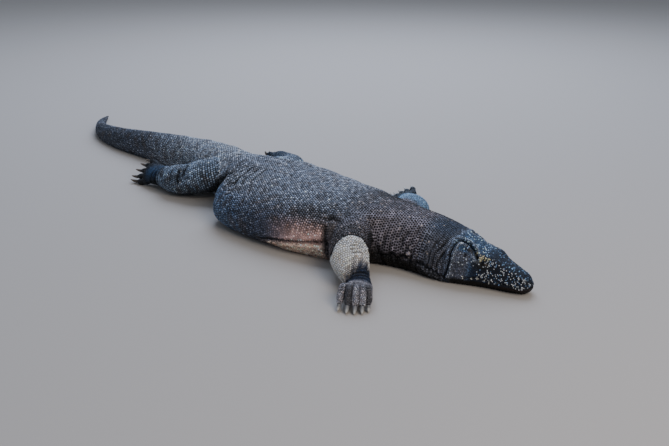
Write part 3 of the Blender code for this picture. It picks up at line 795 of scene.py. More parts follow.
def press_creases(hide, which, distance, drop, share, limb_angle):
    """Presses creases into body and limbs, painted shade in each, a painted highlight on its raised edge."""
    push, painted_shade, painted_highlight = hide
    flat = unrolled(distance, drop)
    on_body = (which == 0) * 1.0
    for line, width, depth, dark in CREASES:
        away = line_distance(flat, line)
        push -= on_body * depth * hill(away, 0, width)
        push += on_body * depth * 0.30 * hill(away, width * 2.6, width * 1.2)
        # Painted shade lies in the crease, and a painted highlight on its raised edge.
        np.maximum(painted_shade, on_body * dark * hill(away, 0, width * 1.15), out=painted_shade)
        np.maximum(painted_highlight, on_body * dark * hill(away, width * 2.7, width), out=painted_highlight)
    for number, place, middle, reach, width, depth, dark in LIMB_CREASES:
        limb = list(limbs.values())[number - 1]
        turn = (np.degrees(limb_angle) - middle + 180) % 360 - 180
        bow = 0.004 * np.sin(limb_angle * 2 + place * 9)
        run = along_arm(share, limb_angle) if number == 1 else share
        off = (run - place) * limb.wrist + bow * (number > 1)
        fade = (which == number) * (1 - step_up(np.abs(turn), reach * 0.7, reach * 1.25))
        push -= depth * fade * hill(off, 0, width)
        # Painted shade lies in the limb's crease, and a painted highlight beside it.
        np.maximum(painted_shade, dark * fade * hill(off, 0, width * 1.1), out=painted_shade)
        np.maximum(painted_highlight, dark * fade * hill(np.abs(off), width * 2.4, width) * 0.6, out=painted_highlight)


def pleat_neck(hide, on_body, distance, drop):
    """Rings the neck with pleats of loose skin, closest and deepest low on its sides."""
    push, painted_shade, painted_highlight = hide
    wander = 0.006 * np.sin(np.radians(drop * 3.1)) + 0.005 * np.sin(distance * 61 + drop * 0.045)
    along, step = np.linspace(0.2, 0.45, 251), 0.001
    phase = np.cumsum(1 / (0.0125 + 0.011 * step_up(along, 0.2, 0.45))) * step
    turns = np.interp(distance + wander, along, phase)
    fold = (0.5 + 0.5 * np.cos(2 * np.pi * turns)) ** 2
    reach = band(drop, 24, 60, 112, 140) * band(distance, 0.198, 0.215, 0.375, 0.43)
    uneven = 0.70 + 0.30 * np.sin(distance * 97 + drop * 0.11)
    close = 1 - step_up(distance, 0.28, 0.34)
    push -= on_body * (0.0046 + 0.0034 * close) * fold * reach * uneven
    # Painted shade lies in the pleats, and a painted highlight on the ridges between them.
    np.maximum(painted_shade, on_body * fold * reach * (uneven * 0.85 + 0.15 * close), out=painted_shade)
    np.maximum(painted_highlight, on_body * (1 - fold) ** 3 * reach * (0.4 + 1.1 * close), out=painted_highlight)


def swell(hide, points, which, distance, drop, share):
    """Raises what lies under the hide: slack muscle and fat on trunk, hips and tail root, and calves."""
    push = hide[0]
    on_body = (which == 0) * 1.0
    x, y, z = points.T
    waves = np.sin(x * 41 + 2.1 * np.sin(y * 23)) * np.sin(y * 37 + z * 45 + 1.7 * np.sin(x * 19))
    push += on_body * 0.0022 * waves * band(distance, 0.40, 0.50, 1.3, 1.8)
    for height, place, long, down, high in SWELLINGS:
        push += on_body * height * hill(distance, place, long) * hill(drop, down, high)
    push += 0.0030 * ((which == 3) * hill(share, 0.72, 0.13) + (which == 4) * hill(share, 0.70, 0.13))


def press_openings(hide, points, on_body, distance, drop):
    """Presses in the mouth line, with a soft lip above and below it, and the nostrils and ears."""
    push, painted_shade = hide[:2]
    on_mouth = on_body * (1 - step_up(distance, 0.150, 0.166)) * (np.abs(drop - 90) < 60)
    gap = points[:, 2] - read_table(MOUTH_LINE, distance)[:, 0]
    push -= on_mouth * 0.0026 * hill(gap, 0, 0.0013)
    push += on_mouth * 0.0011 * (hill(gap, 0.0042, 0.0026) + hill(gap, -0.0042, 0.0026))
    # Painted shade lies in the mouth line.
    np.maximum(painted_shade, on_mouth * hill(gap, 0, 0.0016), out=painted_shade)
    flat = unrolled(distance, drop)
    for spot, long, high, depth in ((NOSTRIL, 0.0034, 0.0022, 0.0042), (EAR, 0.0026, 0.0046, 0.0050)):
        middle = unrolled(np.array([spot[0]]), np.array([spot[1]]))[0]
        away = np.hypot((flat[:, 0] - middle[0]) / long, (flat[:, 1] - middle[1]) / high)
        push -= on_body * depth * np.exp(-(away**4))
        push += on_body * 0.0009 * hill(away, 1.7, 0.6)
        # Painted shade lies in the nostrils and ears.
        np.maximum(painted_shade, on_body * np.exp(-((away / 1.1) ** 4)), out=painted_shade)


def shade_hollows(hide, which, distance, drop, share, limb_angle):
    """Paints shade into the hollows of body and legs, which lie in deep shade."""
    push, painted_shade = hide[:2]
    on_body = (which == 0) * 1.0
    # Painted shade in the armpit and the groin.
    degrees = np.degrees(limb_angle)
    groin = (which == 3) * (1 - step_up(share, 0.45, 0.75)) * hill(degrees, -115, 52)
    inner = np.maximum(step_up(degrees, 138, 160), step_up(-degrees, 30, 60))
    armpit = (which == 1) * (1 - step_up(along_arm(share, limb_angle), 0.50, 0.53)) * inner
    np.maximum(painted_shade, 0.9 * np.maximum(groin, armpit), out=painted_shade)
    # Painted shade on the sides of the chest behind the arm, the neck's underside, the throat, the
    # hollow in front of the thigh, which is also sunk, and a streaked patch behind the shoulder.
    behind = band(distance, 0.366, 0.390, 0.47, 0.50) * step_up(drop, 70, 88)
    below = band(distance, 0.255, 0.275, 0.40, 0.42) * step_up(drop, 90, 98)
    throat = band(distance, 0.20, 0.22, 0.26, 0.28) * step_up(drop, 112, 120)
    edge = np.interp(drop, (36, 41, 47, 52, 61), (0.970, 0.957, 0.948, 0.943, 0.945))
    line = np.interp(distance, (0.95, 0.966, 1.02, 1.05, 1.08), (36, 38, 57, 70, 80))
    hip = band(distance, edge, edge + 0.012, 1.09, 1.13) * step_up(drop, line - 4, line + 3)
    push -= on_body * 0.008 * hip
    patch = hill(distance, 0.583, 0.040) * hill(drop, 46, 7)
    patch *= step_up(np.sin(distance * 260 + 3 * np.sin(drop * 0.5)) + np.sin(drop * 0.9), -1.2, 0.4)
    shade = np.maximum.reduce((behind, below, throat, 1.08 * hip, patch))
    np.maximum(painted_shade, 0.88 * on_body * shade, out=painted_shade)
    # Painted shade on the right thigh behind the hip's bulge, and along its underside.
    edge = np.interp(
        degrees % 360,
        (0, 120, 140, 160, 192, 227, 260, 300, 360),
        (0.0, 0.0, 0.06, 0.12, 0.20, 0.32, 0.60, 0.50, 0.0),
    )
    below = hill(degrees, -100, 42) * (1 - step_up(share, 0.95, 1.10))
    shade = np.maximum(1 - step_up(share, edge - 0.04, edge + 0.04), below)
    np.maximum(painted_shade, 0.95 * (which == 3) * shade, out=painted_shade)


def shade_toes(hide, points, which, share):
    """Paints shade on the hide between the toes, and between the knuckles."""
    painted_shade = hide[1]
    for number, limb in enumerate(limbs.values(), start=1):
        paw = np.flatnonzero((which == number) & (share > 0.98))
        if not len(paw):
            continue
        near = np.sort([from_route(points[paw], toe)[1] for toe in limb.toes], axis=0)
        hold = step_up(share[paw] * limb.wrist, limb.end - 0.012, limb.end + 0.006)
        painted_shade[paw] = np.maximum(painted_shade[paw], hold * hill(near[1] - near[0], 0, 0.0040))


def relief(points, which, distance, angle, share, limb_angle):
    """How far the hide stands out from its smooth form at each point, and its painted shade."""
    drop = drop_angle(angle)
    on_body = (which == 0) * 1.0
    # For each point: how far it stands out, its painted shade in a fold, its painted highlight on a ridge.
    hide = np.zeros((3, len(points)))
    press_creases(hide, which, distance, drop, share, limb_angle)
    pleat_neck(hide, on_body, distance, drop)
    swell(hide, points, which, distance, drop, share)
    press_openings(hide, points, on_body, distance, drop)
    shade_hollows(hide, which, distance, drop, share, limb_angle)
    shade_toes(hide, points, which, share)
    push, painted_shade, painted_highlight = hide
    # The painted highlight lessens the painted shade, and goes below zero on ridges with no shade.
    return push, painted_shade - 0.45 * painted_highlight * (1 - painted_shade)


points = vectors_of(skin_mesh.vertices, "co")
normals = vectors_of(skin_mesh.vertex_normals, "vector")
spots = locate(points)
push, painted_shade = relief(points, *spots)
resting = (points[:, 2] < 0.004) & (normals[:, 2] < -0.7)
push[resting] = 0
points = points + normals * push[:, None]
points[:, 2] = np.maximum(points[:, 2], RESTING_HEIGHT)
# Each eye sits in an almond opening between two lids that wrap its ball. The opening's corners are
# this many degrees ahead and behind, and its edges this many above and below. Inside it the skin
# goes this far behind the ball's surface.
LID_CORNERS, LID_ABOVE, LID_BELOW = 37, 22, 18
LID_THICKNESS, LID_RIM = 0.0013, 0.0008
BEHIND_BALL = 0.0016
for place, gaze, forward in eyes.values():
    across = unit(forward - gaze * (forward @ gaze))
    up = np.cross(across, gaze)
    up = up if up[2] > 0 else -up
    away = points - place
    reach = np.linalg.norm(away, axis=1)
    ray = unit(away)
    ahead = np.degrees(np.arctan2(ray @ across, ray @ gaze))
    above = np.degrees(np.arctan2(ray @ up, ray @ gaze))
    near = (reach < 0.020) & (ray @ gaze > 0.1)
    opening = np.hypot(ahead / LID_CORNERS, above / np.where(above > 0, LID_ABOVE, LID_BELOW))
    lid = EYE_RADIUS + LID_THICKNESS + LID_RIM * hill(opening, 1.25, 0.25)
    wanted = np.where(opening < 1.0, EYE_RADIUS - BEHIND_BALL, lid)
    hold = near * (1 - step_up(opening, 1.35, 2.3))
    points += ray * ((wanted - reach) * hold)[:, None]
points = smooth_points(skin_mesh, points, 1, np.full(len(points), 0.25))
points[resting, 2] = RESTING_HEIGHT
set_points(skin_mesh, points)


def face_outwards(mesh):
    """Turns every face of a closed mesh outwards, and shades it smooth."""
    bm = bmesh.new()
    bm.from_mesh(mesh)
    bmesh.ops.recalc_face_normals(bm, faces=bm.faces)
    bm.to_mesh(mesh)
    bm.free()
    mesh.shade_smooth()


face_outwards(skin_mesh)
skin_mesh.update()
points = vectors_of(skin_mesh.vertices, "co")
skin = new_object("skin", skin_mesh)
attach(skin, "root")
FLESH = ["head", "lower_jaw", "neck", "trunk", "tail_base", "tail_middle", "tail_end"]
for side in ("left", "right"):
    FLESH += [f"{word}_{side}" for word in ("upper_arm", "forearm", "hand", "thigh", "shank", "foot")]
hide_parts(*FLESH)


# The hide's colours: slate over the back and crown, duller and browner on the flank, pale on the
# right forearm and painted bright there as sunlight, nearly black lips and jaws' underside as painted
# shade, nearly black hands and feet, and a rosy-brown fold low on the flank.
# Fingers and toes differ: some are pale towards the claw, others are dark, and on the right hand the
# dark ones are painted shade in the gaps between the fingers. By limb, this is what the colour of
# each toe's end is multiplied by.
TOE_TONES = {
    "arm_right": (0.5, 1.5, 1.6, 0.35, 1.5),
    "arm_left": (1.0, 1.4, 1.0, 1.4, 1.0),
    "leg_right": (0.9, 1.5, 0.8, 1.4, 1.0),
    "leg_left": (1.0, 1.4, 1.0, 1.4, 1.0),
}
# How far the right arm's pale skin, painted as sunlit, reaches: degrees round the arm, share of the
# way to the wrist.
PALE_AND_SUNLIT_TO = ((-180, -60, 2, 36, 68, 105, 139, 180), (0.95, 0.98, 0.97, 0.95, 0.91, 0.85, 0.85, 0.93))
# The pale stripe under the flank's fold, pinkish skin painted bright as sunlight: distance along
# the body, degrees down to its upper edge.
STRIPE_EDGE = ((0.526, 0.55, 0.581, 0.623, 0.668, 0.716), (84, 85, 90, 94, 101, 109))


def mix(base, tint, weight):
    """Colours moved towards another, given in hex, by a weight for each."""
    weight = np.clip(weight, 0, 1)[:, None]
    return base * (1 - weight) + np.array(linear(tint)[:3]) * weight


def markings(points, which, distance, angle, share, limb_angle):
    """The hide's colour at each point, in linear values: washes laid one over another."""
    drop = drop_angle(angle)
    degrees = np.degrees(limb_angle)
    x, y, z = points.T
    # Irregular browner blotches, a hand's breadth apart, where dust and old skin cling.
    blotch = np.sin(x * 67 + 2.3 * np.sin(y * 43)) * np.sin(y * 61 + z * 53 + 2.1 * np.sin(x * 37))
    tan = hill(distance, 0.545, 0.10) * step_up(drop, 34, 56)
    tan = tan + hill(distance, 0.42, 0.06) * hill(drop, 34, 16)
    rosy = band(distance, 0.530, 0.548, 0.57, 0.71) * step_up(drop, 50, 80)
    sunlit_stripe = band(distance, 0.524, 0.54, 0.66, 0.74)
    sunlit_stripe = sunlit_stripe * step_up(drop - np.interp(distance, *STRIPE_EDGE), 2, 8)
    head = 1 - step_up(distance, 0.185, 0.215)
    rim = line_distance(unrolled(distance, drop), CREASES[0][0])
    nape = (which == 0) * band(distance, 0.195, 0.22, 0.25, 0.31)
    leg = (which >= 3) * 1.0
    run = along_arm(share, limb_angle)
    pale_and_sunlit = (which == 1) * step_up(run, 0.518, 0.534)
    edge = np.interp(degrees, *PALE_AND_SUNLIT_TO) + 0.02 * np.sin(degrees * 0.19 + share * 40)
    wrist = step_up(share, edge - 0.13, edge + 0.06)
    washes = (
        # Back, sides, hips and tail: the sides darker, low down darker still with painted shade.
        ("6A7086", step_up(drop, 30, 75)),
        ("5A6174", step_up(drop, 82, 112)),
        ("8CA9D2", hill(distance, 0.92, 0.11) * step_up(drop, 44, 66)),
        ("877A75", tan * 0.8),
        ("877F88", band(distance, 0.25, 0.30, 0.44, 0.53)),
        # Painted shade, nearly black, under the neck.
        ("202026", band(distance, 0.19, 0.23, 0.36, 0.46) * step_up(drop, 90, 106)),
        ("6C6A72", hill(distance, 0.49, 0.06) * (1 - step_up(drop, 30, 60)) * 0.8),
        ("C6CEDA", hill(distance, 0.885, 0.06) * hill(drop, 36, 16) * 0.5),
        ("DAE6F8", step_up(distance, 0.98, 1.1)),
        ("737C8F", step_up(distance, 1.35, 1.7)),
        ("5E6575", step_up(distance, 1.7, 2.3)),
        ("7A6C64", 0.45 * step_up(blotch, 0.1, 0.8) * step_up(distance, 0.30, 0.45)),
        ("EDBFB4", rosy),
        # The pale stripe is pinkish skin, painted bright as sunlight.
        ("FFDDC6", sunlit_stripe),
        # Head: crown, top and side of the muzzle, jaw muscle, its rim, dark brown painted shade in the hollow
        # before the ear, painted shade in the eye's socket, near-black painted shade under the lips and jaws,
        # red-brown under the snout's tip, partly lip and partly painted shade, and the nape.
        ("5280B2", head),
        ("193254", head * (1 - step_up(distance, 0.09, 0.14))),
        ("182B4A", head * step_up(drop, 34, 46) * (1 - step_up(distance, 0.135, 0.155))),
        ("858A9E", head * step_up(distance, 0.138, 0.158) * step_up(drop, 38, 50)),
        ("BFC8D8", head * hill(rim, 0.0085, 0.0035) * (distance < 0.20) * 0.9),
        ("3A2A20", head * hill(distance, 0.157, 0.014) * hill(drop, 36, 7) * 0.9),
        ("07080C", head * hill(distance, 0.120, 0.020) * hill(drop, 60, 13)),
        ("0D0C0F", head * step_up(drop, 100, 114)),
        ("331A17", head * (1 - step_up(distance, 0.05, 0.10)) * hill(drop, 112, 10)),
        ("6C6E7A", nape),
        ("3F4D66", nape * (1 - step_up(drop, 16, 40))),
        # Legs and arms, down to the hands and feet.
        ("AEC3DE", leg),
        ("6E6058", leg * 0.6 * step_up(blotch, 0.3, 0.9)),
        ("8A7E7C", (which == 1) * step_up(run, 0.25, 0.46) * 0.8),
        # The right forearm is pale, and painted brighter still in the warm tint of sunlight.
        ("FFF4E6", pale_and_sunlit),
        ("8FB6DC", (which == 2) * step_up(share, 0.2, 0.4)),
        ("152848", (which == 1) * wrist),
        ("B2AEB5", (which == 1) * step_up(share, 1.04, 1.14)),
        ("39444F", (which == 2) * step_up(share, 0.96, 1.08)),
        ("182334", leg * step_up(share, 0.90, 1.02)),
        ("345A84", leg * step_up(share, 0.88, 1.0) * hill(degrees, 112, 50)),
        ("2E2E32", leg * step_up(share, 1.16, 1.28)),
        ("44566C", (which == 4) * 0.9 * step_up(share, 0.5, 0.8)),
    )
    colour = np.tile(linear("A7B1C4")[:3], (len(points), 1))
    for tint, weight in washes:
        colour = mix(colour, tint, weight)
    # Dust dulls all but the pale forearm and the thin skin of the fold behind it, which keep their
    # painted sunlight.
    colour = colour * (0.64 + 0.36 * np.maximum(pale_and_sunlit * (1 - wrist), rosy * 0.8))[:, None]
    for number, (name, limb) in enumerate(limbs.items(), start=1):
        paw = np.flatnonzero((which == number) & (share > 1.0))
        if not len(paw):
            continue
        along, away = np.array([from_route(points[paw], toe) for toe in limb.toes]).transpose(1, 0, 2)
        toe = np.argmin(away, axis=0)
        tip = step_up(along[toe, np.arange(len(paw))], 0.018, 0.045)
        colour[paw] *= (1 + tip * (np.array(TOE_TONES[name])[toe] - 1))[:, None]
    return colour


def netted(which, distance, angle, share, limb_angle):
    """Where dark scales stand apart on paler skin: the sides of the neck, shoulder and upper arm."""
    drop = drop_angle(angle)
    neck = (which == 0) * band(distance, 0.215, 0.275, 0.47, 0.55) * band(drop, 3, 18, 84, 98)
    return np.maximum(neck, (which == 1) * (1 - step_up(along_arm(share, limb_angle), 0.36, 0.50)) * 0.8)


def bared(which, distance, angle, share, limb_angle):
    """How pale the skin between the scales is, as a share of the scales' own colour."""
    drop = drop_angle(angle)
    # Forearm and flank fold: pale skin between the scales, also painted bright as sunlight.
    pale_arm = (which == 1) * step_up(along_arm(share, limb_angle), 0.51, 0.54)
    pale_arm = pale_arm * (1 - step_up(share, 0.84, 0.94))
    fold = (which == 0) * band(distance, 0.52, 0.54, 0.60, 0.80) * step_up(drop, 52, 84)
    net = netted(which, distance, angle, share, limb_angle)
    return np.maximum.reduce((0.12 + 0 * drop, 0.42 * pale_arm, 0.95 * fold, 1.7 * net))


def add_node(tree, kind, settings=None, **inputs):
    """Adds a node to a tree, with its settings and its inputs."""
    node = tree.nodes.new(kind)
    for key, value in (settings or {}).items():
        setattr(node, key, value)
    set_inputs(node, **inputs)
    return node


def store(mesh, kind, name, values):
    """Stores a number, vector or colour for each of a mesh's points, under a name."""
    key = {"FLOAT": "value", "FLOAT_VECTOR": "vector", "FLOAT_COLOR": "color"}[kind]
    values = np.array(values, float)
    if kind == "FLOAT_COLOR":
        values = np.hstack((values, np.ones((len(values), 1))))
    mesh.attributes.new(name, kind, "POINT").data.foreach_set(key, values.ravel())


spots = locate(points)
painted_shade = relief(points, *spots)[1]
# Painted shade in folds and hollows darkens the skin between the scales; painted highlight lightens it.
between = bared(*spots) * (1 - 0.9 * painted_shade)
store(skin_mesh, "FLOAT_COLOR", "tint", markings(points, *spots) * between[:, None])
# Thin dry skin, dull and leathery, mottled every 17 mm or so. Its real grain, well under a
# millimetre, is too fine to show, so it is drawn 1.6 mm apart.
material, tree, shader = new_material("reptile_skin_between_scales")
tint = add_node(tree, "ShaderNodeAttribute", {"attribute_name": "tint"})
place = add_node(tree, "ShaderNodeTexCoord").outputs["Object"]
mottle = add_node(tree, "ShaderNodeTexNoise", Vector=place, Scale=60.0, Detail=5.0)
shade = add_node(tree, "ShaderNodeMapRange", _0=mottle.outputs["Fac"], _1=0.3, _2=0.7, _3=0.5, _4=1.5)
dark = add_node(tree, "ShaderNodeVectorMath", {"operation": "SCALE"},
                _0=tint.outputs["Color"], _3=shade.outputs[0])
grain = add_node(tree, "ShaderNodeTexVoronoi", Vector=place, Scale=620.0)
bumps = add_node(tree, "ShaderNodeBump", Strength=0.6, Distance=0.0006, Height=grain.outputs["Distance"])
set_inputs(shader, Base_Color=dark.outputs[0], Normal=bumps.outputs[0], Roughness=0.62, IOR=1.45)
skin_mesh.materials.append(material)

# ---------------------------------------------------------------------------
# Scales: horny beads of keratin, grown from the hide and bedded in it by half their height. They
# stand in cross rows, each row set half a scale from the last, rounder on the body, longer and
# keeled on the tail, smallest on the face, hands and feet.
# ---------------------------------------------------------------------------
# How far apart scales are, by distance along the body or by share of the way along a limb. The
# trunk's real ones are finer, but they are drawn as coarse as they need to show: 6.4 mm apart.
BODY_PITCH = (
    (0.00, 0.0025), (0.06, 0.0028), (0.16, 0.0032), (0.205, 0.0042), (0.25, 0.0060), (0.30, 0.0070),
    (0.46, 0.0070), (0.56, 0.0064), (0.90, 0.0064), (1.40, 0.0063), (2.00, 0.0055), (2.38, 0.0030),
)
LIMB_PITCH = {
    "fore": ((0.0, 0.0068), (0.38, 0.0064), (0.55, 0.0059), (0.85, 0.0052), (1.0, 0.0038), (1.2, 0.0032),
             (1.5, 0.0030)),
    "hind": ((0.0, 0.0064), (0.35, 0.0066), (0.8, 0.0058), (1.0, 0.0040), (1.2, 0.0032), (1.5, 0.0030)),
}
TOE_PITCH = 0.0033
EYELID_PITCH = 0.0020
# A row's scales stand a little further apart than its pitch, and the rows a little closer.
ALONG_ROW, NEXT_ROW = 1.12, 0.97
UNEVEN = 0.0003
# Scales from the rows, and those that fill bare patches, keep these shares of their pitch apart.
ROW_ROOM, FILL_GAP, FILL_ROOM = 0.66, 0.86, 0.90
FILL_TRIES = 220000
# How far from its row's place a scale may find the skin, and how far a filling one may.
ROW_REACH, FILL_REACH = 0.0085, 0.002
# Rows stop where the pitch falls below this share of theirs, as on the eyelids.
ROWS_STOP = 0.93
# Scales differ in brightness by this spread, within these limits. Of the clean ones some are flecked
# pale as painted glints and some worn dark, and of those on the neck some are dusty: these are their
# shares.
TONE_SPREAD, TONE_LIMITS = 0.38, (0.30, 2.5)
GLINT_FLECKED, WORN, DUSTY = 0.12, 0.24, 0.05
chance = np.random.default_rng(11)
skin_normals = vectors_of(skin_mesh.vertex_normals, "vector")
skin_faces = [tuple(p.vertices) for p in skin_mesh.polygons]
skin_tree = BVHTree.FromPolygons(points.tolist(), skin_faces)


def row_pitch_at(spots):
    """How far apart the cross rows of scales are, at places given as locate gives them."""
    which, distance, angle, share, limb_angle = spots
    fore, hind = (read_table(LIMB_PITCH[kind], share)[:, 0] for kind in ("fore", "hind"))
    return np.choose(np.array((0, 1, 1, 2, 2))[which], (read_table(BODY_PITCH, distance)[:, 0], fore, hind))


def pitch_at(points, spots):
    """How far apart scales are at points of the hide."""
    pitch = row_pitch_at(spots)
    for place, gaze, forward in eyes.values():
        near = np.linalg.norm(points - place, axis=1)
        pitch = pitch + (EYELID_PITCH - pitch) * (1 - step_up(near, 0.012, 0.020))
    return pitch


def settle(wanted, reach):
    """The nearest places on the skin to some points, with the hide's direction there.

    Returns the places, their normals and which of the points found the skin within reach.
    """
    places, normals, found = [], [], []
    for number, point in enumerate(wanted.tolist()):
        place, normal, face, away = skin_tree.find_nearest(point, reach)
        if place is None:
            continue
        places.append(place)
        normals.append(skin_normals[list(skin_faces[face])].mean(0))
        found.append(number)
    return np.array(places).reshape(-1, 3), np.array(normals).reshape(-1, 3), np.array(found, int)


def even_row(ring, pitch, shift):
    """Points evenly spaced round a closed ring, about a pitch apart, moved along by a share."""
    closed = np.vstack((ring, ring[:1]))
    gone = np.concatenate(([0.0], np.cumsum(np.linalg.norm(np.diff(closed, axis=0), axis=1))))
    count = max(6, 2 * round(gone[-1] / pitch / 2))
    at = (np.arange(count) + shift) / count * gone[-1]
    return np.stack([np.interp(at, gone, closed[:, k]) for k in range(3)], -1)


def rows_along(length, pitch, ring_at, heading_at):
    """Cross rows of points over a lofted form, each shifted by half a scale from the one before."""
    wanted, headings = [], []
    place, row = 0.004, 0
    while place < length - 0.002:
        step = pitch(place)
        points = even_row(ring_at(place), step * ALONG_ROW, 0.5 * (row % 2))
        wanted.append(points)
        headings.append(np.repeat(heading_at(place), len(points), 0))
        place += step * NEXT_ROW
        row += 1
    return np.concatenate(wanted), np.concatenate(headings)


from_back = np.pi / 2 + np.arange(240) * 2 * np.pi / 240
groups = [
    rows_along(
        BODY_LENGTH,
        lambda place: read_table(BODY_PITCH, place)[0, 0],
        lambda place: body_rings([place], from_back, SKIN_DEPTH)[0],
        lambda place: body.at(place)[1],
    )
]


def limb_rows(route, length, table, sides, rolls, pitch, inset):
    """Cross rows of points over one limb or toe."""
    return rows_along(
        length,
        pitch,
        lambda place: limb_rings(route, [place], table, sides, rolls(np.array([place])), inset)[0],
        lambda place: route.at(place)[1],
    )


for name, limb in limbs.items():
    table = LIMB_PITCH[LEGS[name]["kind"]]
    spacing = lambda place: read_table(table, place / limb.wrist)[0, 0]
    groups.append(limb_rows(limb.route, limb.end, limb.table, 90, limb.rolls, spacing, SKIN_DEPTH))
    for toe in limb.toes:
        steady = lambda places: np.array([limb.roll])
        spacing = lambda place: TOE_PITCH
        groups.append(limb_rows(toe, toe.length, limb.toe_table(toe), 48, steady, spacing, SKIN_DEPTH / 2))
wanted = np.concatenate([group[0] for group in groups])
wanted = wanted + chance.normal(0, UNEVEN, wanted.shape)
headings = np.concatenate([group[1] for group in groups])
places, normals, found = settle(wanted, ROW_REACH)
headings = headings[found]


def open_hide(places, normals):
    """True where scales can grow: not under the resting belly, nor inside the eyes' openings."""
    clear = ~((places[:, 2] < 0.0022) & (normals[:, 2] < -0.5))
    for place, gaze, forward in eyes.values():
        clear &= np.linalg.norm(places - place, axis=1) > EYE_RADIUS + 0.0002
    return clear


def tree_of(places):
    """A search tree of places, which finds those near a point."""
    tree = KDTree(len(places))
    for number, place in enumerate(places):
        tree.insert(place, number)
    tree.balance()
    return tree


def keep_apart(places, pitch, barred, share):
    """Which places stay when each must be a share of its pitch away from those before it."""
    tree = tree_of(places)
    kept = np.zeros(len(places), bool)
    for number, place in enumerate(places):
        near = tree.find_range(place, pitch[number] * share)
        if not any(kept[other] for place, other, away in near):
            kept[number] = not barred[number]
    return kept


spots = locate(places)
pitch = pitch_at(places, spots)
barred = ~open_hide(places, normals) | (pitch < row_pitch_at(spots) * ROWS_STOP)
kept = keep_apart(places, pitch, barred, ROW_ROOM)
places, normals, headings = places[kept], normals[kept], headings[kept]
# Bare patches between the rows, as in folds, between toes and round the eyes, are filled at random.
corners = np.array([face[:3] for face in skin_faces])
more = np.array([(f[0], f[2], f[3]) for f in skin_faces if len(f) == 4])
corners = np.concatenate((corners, more))
sides = points[corners]
areas = np.linalg.norm(np.cross(sides[:, 1] - sides[:, 0], sides[:, 2] - sides[:, 0]), axis=1) / 2
middle = sides.mean(1)
weights = areas / pitch_at(middle, locate(middle)) ** 2
pick = chance.choice(len(corners), FILL_TRIES, p=weights / weights.sum())
u, v = chance.random(len(pick)), chance.random(len(pick))
fold = u + v > 1
u[fold], v[fold] = 1 - u[fold], 1 - v[fold]
w = (1 - u - v)[:, None]
loose = sides[pick, 0] * w + sides[pick, 1] * u[:, None] + sides[pick, 2] * v[:, None]
tree = tree_of(places)
loose_pitch = pitch_at(loose, locate(loose))
gap = np.array([tree.find(place)[2] for place in loose])
room = gap > loose_pitch * FILL_GAP
loose, loose_pitch = loose[room], loose_pitch[room]
loose, loose_normals, found = settle(loose, FILL_REACH)
kept = keep_apart(loose, loose_pitch[found], ~open_hide(loose, loose_normals), FILL_ROOM)
loose, loose_normals = loose[kept], loose_normals[kept]
on_limb, distance, angle, share, limb_angle = locate(loose)
loose_headings = body.at(distance)[1]
for number, limb in enumerate(limbs.values(), start=1):
    own = on_limb == number
    loose_headings[own] = limb.route.at(np.clip(share[own] * limb.wrist, 0, limb.end))[1]
places = np.concatenate((places, loose))
normals = unit(np.concatenate((normals, loose_normals)))
headings = np.concatenate((headings, loose_headings))
spots = locate(places)
which, distance, angle, share, limb_angle = spots
pitch = pitch_at(places, spots)
drop = drop_angle(angle)

# Each scale's own shade: clean ones have pale flecks painted as glints, worn ones are dark, and some
# on the neck are dusty.
tint = markings(places, *spots)
painted_shade = relief(places, *spots)[1]
tone = np.clip(np.exp(chance.normal(-0.02, TONE_SPREAD, len(places))), *TONE_LIMITS)
net = netted(*spots)
tint = mix(tint, "171214", net * 0.97)
# The pale forearm's scales are painted brighter too, as sunlit.
pale_arm = (which == 1) & (along_arm(share, limb_angle) > 0.525) & (share < 0.95)
tone[pale_arm] = tone[pale_arm] ** 0.6 * 1.15
warm = chance.normal(0.01, 0.045, len(places))
tint = tint * np.stack((1 + warm, np.ones(len(places)), 1 - warm), -1)
clean = (which == 0) & (distance > 0.33) & (net < 0.3) | (which >= 3) & (share < 0.95)
rosy = (which == 0) & (distance > 0.52) & (distance < 0.74) & (drop > 58)
glint_fleck = clean & ~rosy & (chance.random(len(places)) < GLINT_FLECKED)
tint[glint_fleck] = mix(tint[glint_fleck] * 1.45, "BEC3CC", np.full(glint_fleck.sum(), 0.28))
dusty = (net >= 0.3) & (chance.random(len(places)) < DUSTY)
tint[dusty] = linear("968B84")[:3]
worn = clean & ~glint_fleck & ~rosy & (chance.random(len(places)) < WORN)
tint[worn] *= 0.5
# On the head pale scales stand in small clusters among dark ones. For each zone: how often a cluster
# starts, its radius, its colour, and what the scales between are dulled by.
head = (which == 0) & (distance < 0.2)
beside = step_up(drop, 28, 44)
muzzle = head * (1 - step_up(distance, 0.095, 0.13)) * beside * (1 - step_up(drop, 98, 108))
snout = head * (1 - step_up(distance, 0.095, 0.13)) * (1 - beside)
crown = head * step_up(distance, 0.095, 0.13) * (1 - step_up(drop, 30, 44))
brow = head * hill(distance, 0.124, 0.016) * hill(drop, 41, 6)
jaw = head * hill(distance, 0.168, 0.024) * hill(drop, 66, 22)
lip = head * hill(distance, 0.136, 0.028) * hill(drop, 98, 6)
ZONES = (
    (muzzle, 0.07, 0.0020, "86A6D0", 0.60),
    (muzzle, 0.20, 0.0023, "E8F0FA", 1.0),
    (snout, 0.11, 0.0024, "7C9EC4", 0.55),
    (crown, 0.17, 0.0026, "B4D0F4", 0.55),
    (jaw, 0.08, 0.0028, "C4CCDA", 0.80),
    (brow, 0.36, 0.0030, "F0DEB0", 0.32),
    (lip, 0.30, 0.0030, "EAE6DA", 0.60),
)
tree = tree_of(places)
for zone, odds, reach, colour, others in ZONES:
    seeds = np.flatnonzero(chance.random(len(places)) < zone * odds)
    chosen = np.zeros(len(places), bool)
    for seed in seeds:
        chosen[[other for place, other, away in tree.find_range(places[seed], reach)]] = True
    tint[~chosen & (zone > 0.35)] *= others
    tint[chosen] = linear(colour)[:3]
